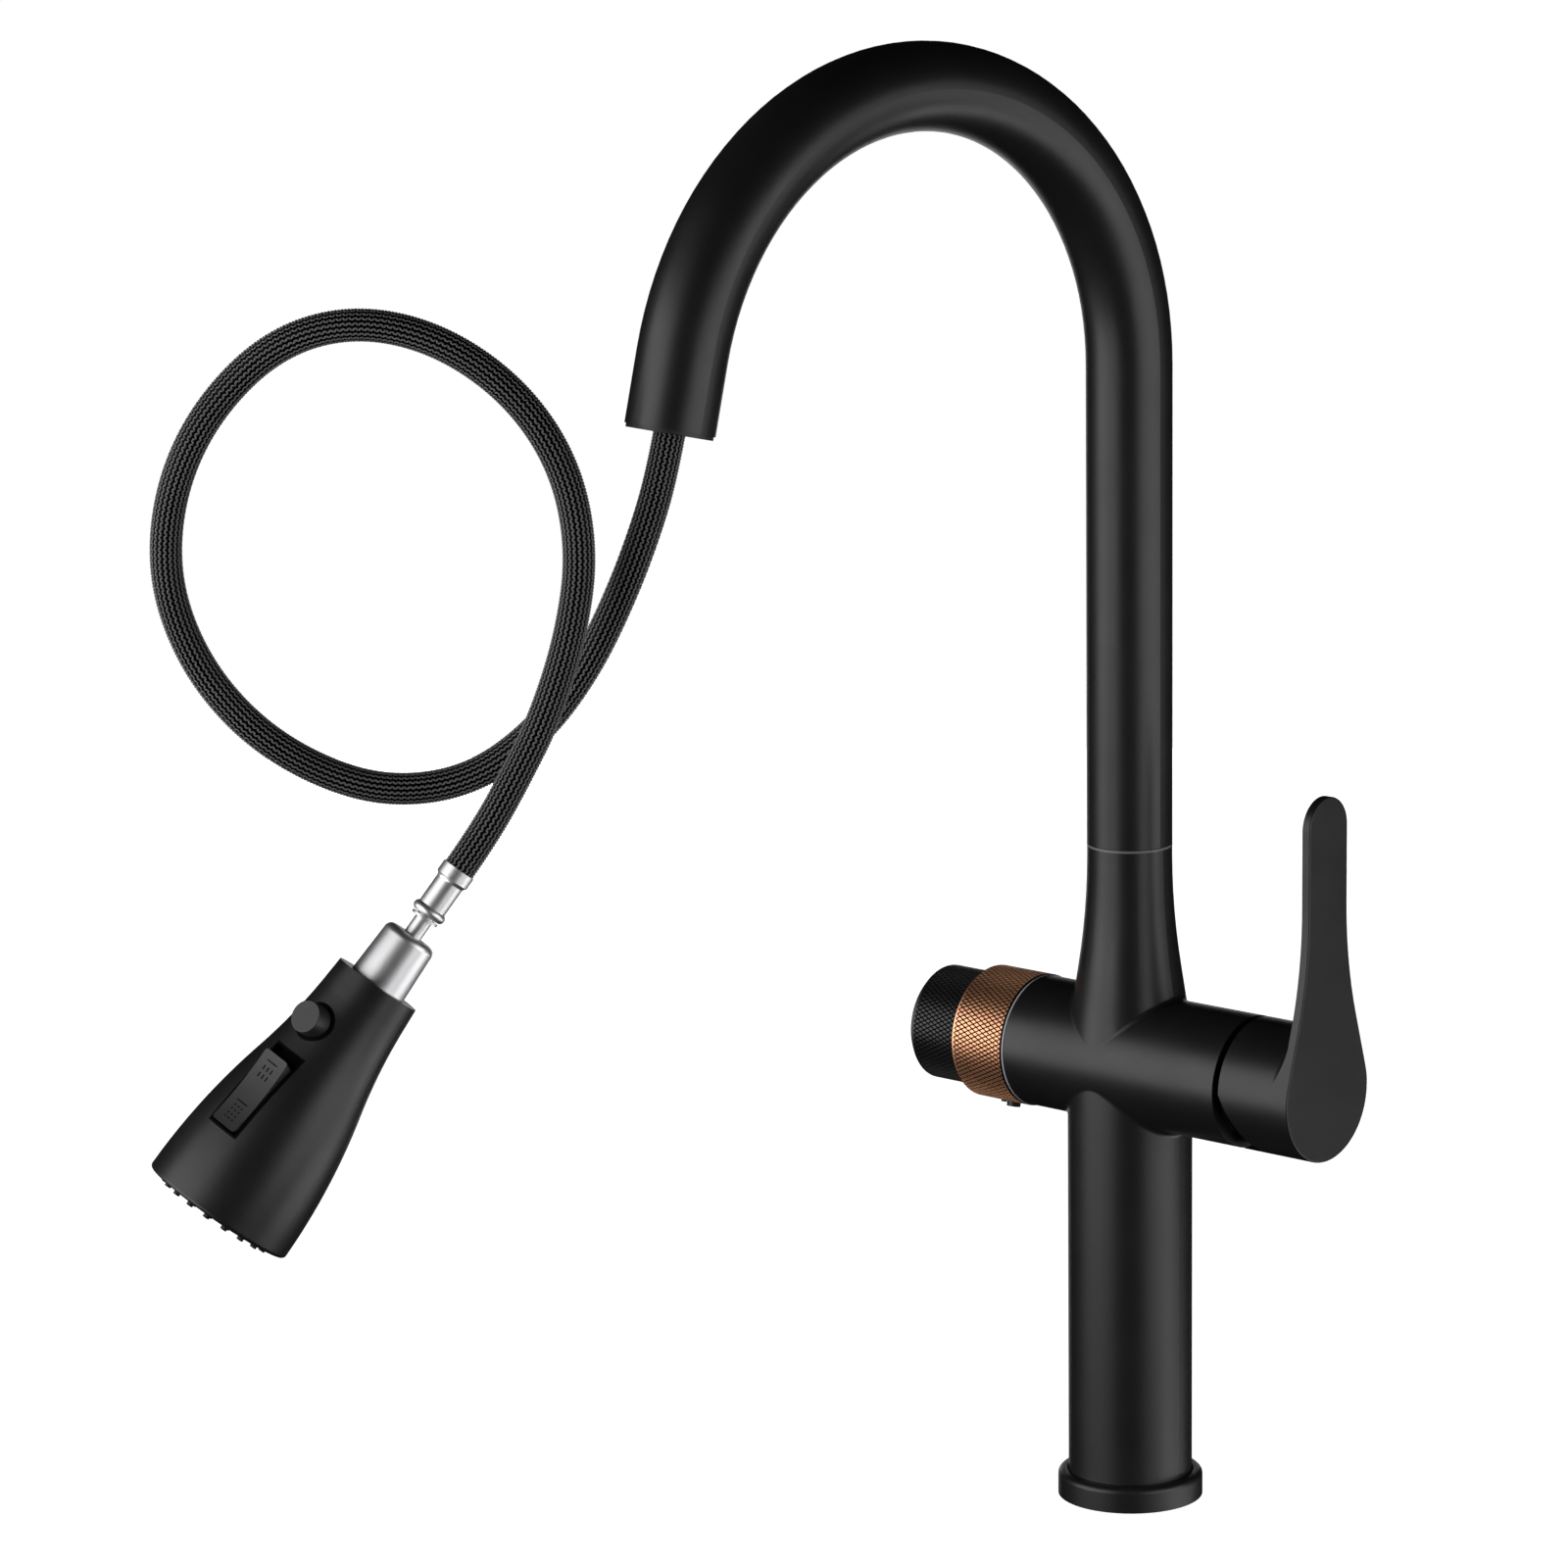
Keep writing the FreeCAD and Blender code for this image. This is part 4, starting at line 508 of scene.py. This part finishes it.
def braid_tree(stitch_object):
    """A tube along a line under lengthwise bands of stitches that slant left and right by turns."""
    tree, given, result = new_group(
        "yarn_braid", "GeometryNodeTree",
        [("Geometry", "NodeSocketGeometry", None),
         ("Radius", "NodeSocketFloat", 0.005),
         ("Bands", "NodeSocketInt", 20),
         ("Pitch", "NodeSocketFloat", 0.00095),
         ("Slant", "NodeSocketFloat", 0.49),
         ("Stitch Length", "NodeSocketFloat", 0.0012),
         ("Stitch Width", "NodeSocketFloat", 0.0006),
         ("Yarn Thickness", "NodeSocketFloat", 0.00035),
         ("Material", "NodeSocketMaterial", None)],
        [("Geometry", "NodeSocketGeometry")])
    line = add_node(tree, "GeometryNodeMeshToCurve", {"Mesh": given.outputs["Geometry"]})
    even = add_node(tree, "GeometryNodeResampleCurve", {
        "Curve": line.outputs[0], "Length": given.outputs["Pitch"]}, mode="LENGTH")
    directed = add_node(tree, "GeometryNodeStoreNamedAttribute", {
        "Geometry": even.outputs[0], "Name": "run_direction",
        "Value": add_node(tree, "GeometryNodeInputTangent").outputs[0]},
        data_type="FLOAT_VECTOR", domain="POINT")
    counted = add_node(tree, "GeometryNodeStoreNamedAttribute", {
        "Geometry": directed.outputs[0], "Name": "row",
        "Value": add_node(tree, "GeometryNodeInputIndex").outputs[0]},
        data_type="FLOAT", domain="POINT")
    core_radius = math_node(tree, "SUBTRACT", given.outputs["Radius"], given.outputs["Yarn Thickness"])
    ring = add_node(tree, "GeometryNodeCurvePrimitiveCircle", {
        "Resolution": given.outputs["Bands"], "Radius": core_radius})
    tube = add_node(tree, "GeometryNodeCurveToMesh", {
        "Curve": counted.outputs[0], "Profile Curve": ring.outputs["Curve"], "Fill Caps": True})
    marked = add_node(tree, "GeometryNodeStoreNamedAttribute", {
        "Geometry": tube.outputs[0], "Name": "outward",
        "Value": add_node(tree, "GeometryNodeInputNormal").outputs[0]},
        data_type="FLOAT_VECTOR", domain="FACE")
    corners = add_node(tree, "GeometryNodeInputMeshFaceNeighbors").outputs["Vertex Count"]
    is_side = add_node(tree, "FunctionNodeCompare", {2: corners, 3: 4}, data_type="INT", operation="EQUAL")
    places = add_node(tree, "GeometryNodeMeshToPoints", {
        "Mesh": marked.outputs[0], "Selection": is_side.outputs[0]}, mode="FACES")
    stitch = add_node(tree, "GeometryNodeObjectInfo", transform_space="ORIGINAL")
    stitch.inputs["Object"].default_value = stitch_object
    outward = add_node(tree, "GeometryNodeInputNamedAttribute", {"Name": "outward"},
                       data_type="FLOAT_VECTOR").outputs[0]
    run = add_node(tree, "GeometryNodeInputNamedAttribute", {"Name": "run_direction"},
                   data_type="FLOAT_VECTOR").outputs[0]
    row = add_node(tree, "GeometryNodeInputNamedAttribute", {"Name": "row"}, data_type="FLOAT").outputs[0]
    parity = math_node(tree, "MODULO", math_node(tree, "FLOOR", row), 2.0)
    side = math_node(tree, "SUBTRACT", math_node(tree, "MULTIPLY", parity, 2.0), 1.0)
    upright = add_node(tree, "FunctionNodeAlignRotationToVector", {"Vector": outward}, axis="Z")
    along = add_node(tree, "FunctionNodeAlignRotationToVector", {
        "Rotation": upright.outputs[0], "Vector": run}, axis="X", pivot_axis="Z")
    slant = add_node(tree, "FunctionNodeAxisAngleToRotation", {
        "Axis": (0, 0, 1), "Angle": math_node(tree, "MULTIPLY", side, given.outputs["Slant"])})
    turned = add_node(tree, "FunctionNodeRotateRotation", {
        "Rotation": along.outputs[0], "Rotate By": slant.outputs[0]}, rotation_space="LOCAL")
    size = add_node(tree, "ShaderNodeCombineXYZ", {
        0: math_node(tree, "MULTIPLY", given.outputs["Stitch Length"], 0.5),
        1: math_node(tree, "MULTIPLY", given.outputs["Stitch Width"], 0.5),
        2: given.outputs["Yarn Thickness"]}).outputs[0]
    stitches = add_node(tree, "GeometryNodeInstanceOnPoints", {
        "Points": places.outputs[0], "Instance": stitch.outputs["Geometry"],
        "Rotation": turned.outputs[0], "Scale": size})
    real = add_node(tree, "GeometryNodeRealizeInstances", {"Geometry": stitches.outputs[0]})
    ridged = add_node(tree, "GeometryNodeStoreNamedAttribute", {
        "Geometry": real.outputs[0], "Name": "yarn", "Value": 1.0}, data_type="FLOAT", domain="POINT")
    joined = tree.nodes.new("GeometryNodeJoinGeometry")
    tree.links.new(ridged.outputs[0], joined.inputs[0])
    tree.links.new(tube.outputs[0], joined.inputs[0])
    painted = add_node(tree, "GeometryNodeSetMaterial", {
        "Geometry": joined.outputs[0], "Material": given.outputs["Material"]})
    tree.links.new(painted.outputs[0], result.inputs["Geometry"])
    return tree


# ---------------------------------------------------------------- spray head

ROCKER_TOP = Vector((21.2, -34.3)) * MM
ROCKER_LOW = Vector((23.9, -60.7)) * MM
ROCKER_DISH = 90 * MM
MARK_DEPTH = 0.08 * MM
MARKS = [(0, 2.75, 4.6, 0.35)]
MARKS += [(across, along, 0.4, 1.6) for along in (5.2, 7.8) for across in (-1.7, 0, 1.7)]
MARKS += [(0, 17.7, 4.6, 0.35)]
MARKS += [(across, along, 0.5, 0.5) for along in (19.4, 20.9, 22.4, 23.9) for across in (-1.6, 0, 1.6)]


def rocker_face(along):
    """(outward, height) on the rocker's dished face, a distance down from its upper end."""
    chord = ROCKER_LOW - ROCKER_TOP
    inward = Vector((chord.y, -chord.x)).normalized()
    off_middle = along - chord.length / 2
    dish = math.sqrt(ROCKER_DISH ** 2 - off_middle ** 2)
    dish -= math.sqrt(ROCKER_DISH ** 2 - (chord.length / 2) ** 2)
    return ROCKER_TOP + chord * (along / chord.length) + inward * dish


def rocker_marks():
    """Small bars for the two spray patterns, let into the rocker's face."""
    points = []
    faces = []
    for across, along, width, length in MARKS:
        first = len(points)
        for step in (-0.5, 0.5):
            middle = rocker_face((along + step * length) * MM)
            for side in (-0.5, 0.5):
                for proud in (-MARK_DEPTH, MARK_DEPTH):
                    points.append(HEAD_PLACE @ Vector(
                        ((across + side * width) * MM, -(middle.x + proud), middle.y)))
        for face in ((0, 1, 3, 2), (4, 6, 7, 5), (0, 4, 5, 1), (2, 3, 7, 6), (0, 2, 6, 4), (1, 5, 7, 3)):
            faces.append([first + corner for corner in face])
    mesh = bpy.data.meshes.new("rocker_marks")
    mesh.from_pydata(points, [], faces)
    return mesh_object("rocker_marks", mesh)


# ---------------------------------------------------------------- stage

FLOOR_REACH = 30.0
CAMERA_PLACE = Vector((1.30299, -1.64941, 0.69396))
CAMERA_FORWARD = Vector((-0.64686, 0.73340, -0.20906))
CAMERA_RIGHT = Vector((0.75162, 0.65948, -0.01209))
CAMERA_LENS = 149.61
CAMERA_SENSOR = 36
CAMERA_REACH = 100
LIGHT_DISTANCE = 1.3
LIGHT_CENTRE = Vector((0, -0.1, 0))

# Each softbox: heading round the faucet in degrees, height in metres, (width, height) in metres.
SOFTBOXES = {
    "left": (-115.5, 0.4, (1.6, 1.3)),
    "right": (9.5, 0.15, (1.55, 0.9)),
    "low": (40, -0.75, (1.3, 0.6)),
    "back": (131.5, -0.05, (0.9, 0.7)),
}


# ---------------------------------------------------------------- operators

class FAUCET_OT_finishes(bpy.types.Operator):
    """Give every CAD piece its finish"""

    bl_idname = "faucet.finishes"
    bl_label = "Finishes"

    def execute(self, context):
        settings = context.scene.faucet_finish
        rough = settings.coat_roughness
        finishes = {
            "matte_black": grained_material(
                "matte_black_coat", settings.coat_colour, rough, 0.025, depth=0.000002, scale=2800.0),
            # painted shade: the copper's grooves and plain inner shoulder take the groove shade colour
            "copper": grained_material(
                "satin_copper", settings.copper_colour, 0.47, 0.04, metallic=1.0, depth=0.000003,
                grooves=(settings.groove_shade_colour, RING_RADIUS - RING_GROOVES[0],
                         RING_RADIUS - RING_GROOVES[1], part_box("copper_ring")[1][0] - KNURL_MARGIN)),
            "black_plastic": grained_material(
                "moulded_plastic", settings.plastic_colour, 0.46, 0.04, depth=0.000004, scale=1400.0),
            "chrome": turned_metal("polished_chrome", (0.8, 0.8, 0.81), 0.42),
            "satin_chrome": turned_metal("satin_chrome", (0.76, 0.76, 0.77), 0.42),
            "brass": turned_metal("machined_brass", (0.72, 0.56, 0.3), 0.3),
            "steel": turned_metal("bright_steel", (0.62, 0.62, 0.63), 0.24),
            "dark_metal": grained_material("dark_plating", (0.03, 0.03, 0.03), 0.4, 0.04, metallic=0.6),
            "rubber": grained_material("seal_rubber", (0.02, 0.02, 0.02), 0.7, 0.06, depth=0.00003),
            "light_nylon": grained_material("light_nylon", (0.5, 0.53, 0.58), 0.45, 0.05),
            # painted shade: the core between the stitches is near black and without sheen
            "hose_braid": grained_material(
                "braid_yarn", settings.braid_colour, 0.45, 0.08, depth=0.00001, scale=6000.0,
                yarn_gap_shade=PAINTED_SHADE_BLACK),
        }
        # painted shade: the knob's grooves are near black and without sheen
        grained_material(
            "knurled_black", settings.coat_colour, rough, 0.025, depth=0.000002, scale=2800.0,
            grooves=(PAINTED_SHADE_BLACK, KNOB_RADIUS - KNOB_GROOVES[0], KNOB_RADIUS - KNOB_GROOVES[1], 0.0))
        # painted shade: the sunk rocker marks are near black with little sheen, for the shade in their
        # recesses
        grained_material(
            "sunk_marks", RECESS_SHADE_BLACK, 0.6, 0.05, depth=0.000004, Specular_IOR_Level=0.05)
        for node in frame["nodes"]:
            dress(node, finishes[frame_slot(node)])
        # painted shade: the button socket and rocker tray are near black with little sheen, for the shade
        # in these recesses
        recess = grained_material(
            "recess_black", RECESS_SHADE_BLACK, 0.75, 0.05, depth=0.000004, Specular_IOR_Level=0.05)
        for node in ("button_socket", "rocker_tray"):
            dress(node, recess)
        dress("swivel_ring", grained_material("grey_nylon", (0.17, 0.18, 0.2), 0.45, 0.05))
        return {"FINISHED"}


class FAUCET_OT_knurls(bpy.types.Operator):
    """Cut the diamond knurl of the copper ring and of the black knob"""

    bl_idname = "faucet.knurls"
    bl_label = "Knurls"

    def execute(self, context):
        settings = context.scene.faucet_knurl
        ring_low, ring_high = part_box("copper_ring")
        knob_low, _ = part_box("knob_cap")
        knurl("copper_ring_knurl", ring_low[0] + KNURL_MARGIN, ring_high[0] - KNURL_MARGIN,
              RING_RADIUS - settings.tooth_height, settings.teeth_round_ring,
              bpy.data.materials["satin_copper"])
        knurl("knob_knurl", knob_low[0] + KNOB_RIM, ring_low[0],
              KNOB_RADIUS - settings.tooth_height, settings.teeth_round_knob,
              bpy.data.materials["knurled_black"])
        return {"FINISHED"}


class FAUCET_OT_hose(bpy.types.Operator):
    """Lay the braided hose along its route"""

    bl_idname = "faucet.hose"
    bl_label = "Braided hose"

    def execute(self, context):
        settings = context.scene.faucet_hose
        points, line = smooth_line(HOSE_ROUTE)
        stitch_object = mesh_object("yarn_stitch_source", stitch_mesh())
        band_width = math.pi * settings.diameter / settings.bands_round
        hose = grown_by_nodes("hose_braided", line, braid_tree(stitch_object), **{
            "Radius": settings.diameter / 2, "Bands": settings.bands_round,
            "Pitch": settings.stitch_pitch, "Slant": settings.stitch_slant,
            "Stitch Length": 1.5 * settings.stitch_pitch, "Stitch Width": 0.33 * band_width,
            "Yarn Thickness": settings.yarn_thickness, "Material": bpy.data.materials["braid_yarn"]})
        bpy.data.objects.remove(stitch_object)
        finished(hose, "spout")
        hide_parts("hose")
        return {"FINISHED"}


class FAUCET_OT_spray_head(bpy.types.Operator):
    """Add the fine parts of the spray head"""

    bl_idname = "faucet.spray_head"
    bl_label = "Spray head"

    def execute(self, context):
        marks = rocker_marks()
        # painted shade: the marks get the near-black material of the sunk recesses
        marks.data.materials.append(bpy.data.materials["sunk_marks"])
        finished(marks, "rocker")
        return {"FINISHED"}


class FAUCET_OT_stage(bpy.types.Operator):
    """Set up the pale floor, the studio lights and the camera"""

    bl_idname = "faucet.stage"
    bl_label = "Stage"

    def execute(self, context):
        settings = context.scene.faucet_stage
        floor = mesh_object("floor", bpy.data.meshes.new("floor"))
        corners = [(x * FLOOR_REACH, y * FLOOR_REACH, 0) for x, y in ((-1, -1), (1, -1), (1, 1), (-1, 1))]
        floor.data.from_pydata(corners, [], [(0, 1, 2, 3)])
        floor.data.materials.append(grained_material(
            "pale_floor", settings.floor_colour, 0.7, 0.05, depth=0.0, shade=0.01,
            Emission_Color=(1, 1, 1, 1), Emission_Strength=settings.floor_glow))
        floor.visible_glossy = False
        floor.visible_diffuse = False
        floor.visible_shadow = False
        self.add_camera(context)
        for side, (heading, height, size) in SOFTBOXES.items():
            power = getattr(settings, f"{side}_power")
            light = self.add_light(f"{side}_softbox", heading, height, size, power)
            light.visible_camera = side != "back"
        self.add_world(context, settings.room_light)
        context.scene.view_settings.view_transform = "Standard"
        return {"FINISHED"}

    def add_camera(self, context):
        """Camera with a long lens, a little above the spout and off the lever's side."""
        camera = bpy.data.objects.new("camera", bpy.data.cameras.new("camera"))
        bpy.context.collection.objects.link(camera)
        forward = CAMERA_FORWARD.normalized()
        right = CAMERA_RIGHT.normalized()
        up = right.cross(forward)
        turn = Matrix((right, up, -forward)).transposed().to_4x4()
        camera.matrix_world = Matrix.Translation(CAMERA_PLACE) @ turn
        camera.data.sensor_width = CAMERA_SENSOR
        camera.data.lens = CAMERA_LENS
        camera.data.clip_end = CAMERA_REACH
        context.scene.camera = camera

    def add_light(self, name, heading, height, size, power):
        """A softbox at a heading round the faucet and a height, facing the faucet squarely."""
        data = bpy.data.lights.new(name, "AREA")
        data.shape = "RECTANGLE"
        data.size, data.size_y = size
        data.energy = power
        light = bpy.data.objects.new(name, data)
        bpy.context.collection.objects.link(light)
        away = Vector((math.cos(math.radians(heading)), math.sin(math.radians(heading)), 0))
        light.location = LIGHT_CENTRE + Vector((0, 0, height)) + away * LIGHT_DISTANCE
        light.rotation_euler = (-away).to_track_quat("-Z", "Y").to_euler()
        return light

    def add_world(self, context, brightness):
        """White to the eye, dark in reflections."""
        world = bpy.data.worlds.new("studio")
        world.use_nodes = True
        context.scene.world = world
        tree = world.node_tree
        seen = add_node(tree, "ShaderNodeLightPath").outputs["Is Camera Ray"]
        strength = add_node(tree, "ShaderNodeMapRange", {
            "Value": seen, "To Min": brightness, "To Max": 1.0})
        background = tree.nodes["Background"]
        background.inputs["Color"].default_value = (1, 1, 1, 1)
        tree.links.new(strength.outputs[0], background.inputs["Strength"])


class FAUCET_PT_panel(bpy.types.Panel):
    """Lists the faucet's operators and settings"""

    bl_idname = "FAUCET_PT_panel"
    bl_label = "Pull-down faucet"
    bl_space_type = "VIEW_3D"
    bl_region_type = "UI"
    bl_category = "Faucet"

    def draw(self, context):
        for operator in OPERATORS:
            self.layout.operator(operator.bl_idname)
        for name, group in SETTINGS.items():
            box = self.layout.box()
            for setting in group.__annotations__:
                box.prop(getattr(context.scene, name), setting)


OPERATORS = (FAUCET_OT_finishes, FAUCET_OT_knurls, FAUCET_OT_hose, FAUCET_OT_spray_head, FAUCET_OT_stage)
SETTINGS = {
    "faucet_finish": FaucetFinishSettings,
    "faucet_knurl": FaucetKnurlSettings,
    "faucet_hose": FaucetHoseSettings,
    "faucet_stage": FaucetStageSettings,
}
CLASSES = (*SETTINGS.values(), *OPERATORS, FAUCET_PT_panel)


def register():
    """Register the classes and hang the settings on the scene."""
    for item in CLASSES:
        bpy.utils.register_class(item)
    for name, group in SETTINGS.items():
        setattr(bpy.types.Scene, name, bpy.props.PointerProperty(type=group))


def unregister():
    """Undo register."""
    for name in SETTINGS:
        delattr(bpy.types.Scene, name)
    for item in reversed(CLASSES):
        bpy.utils.unregister_class(item)


def main():
    """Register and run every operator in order."""
    register()
    for operator in OPERATORS:
        category, name = operator.bl_idname.split(".")
        getattr(getattr(bpy.ops, category), name)()


if __name__ == "__main__":
    main()
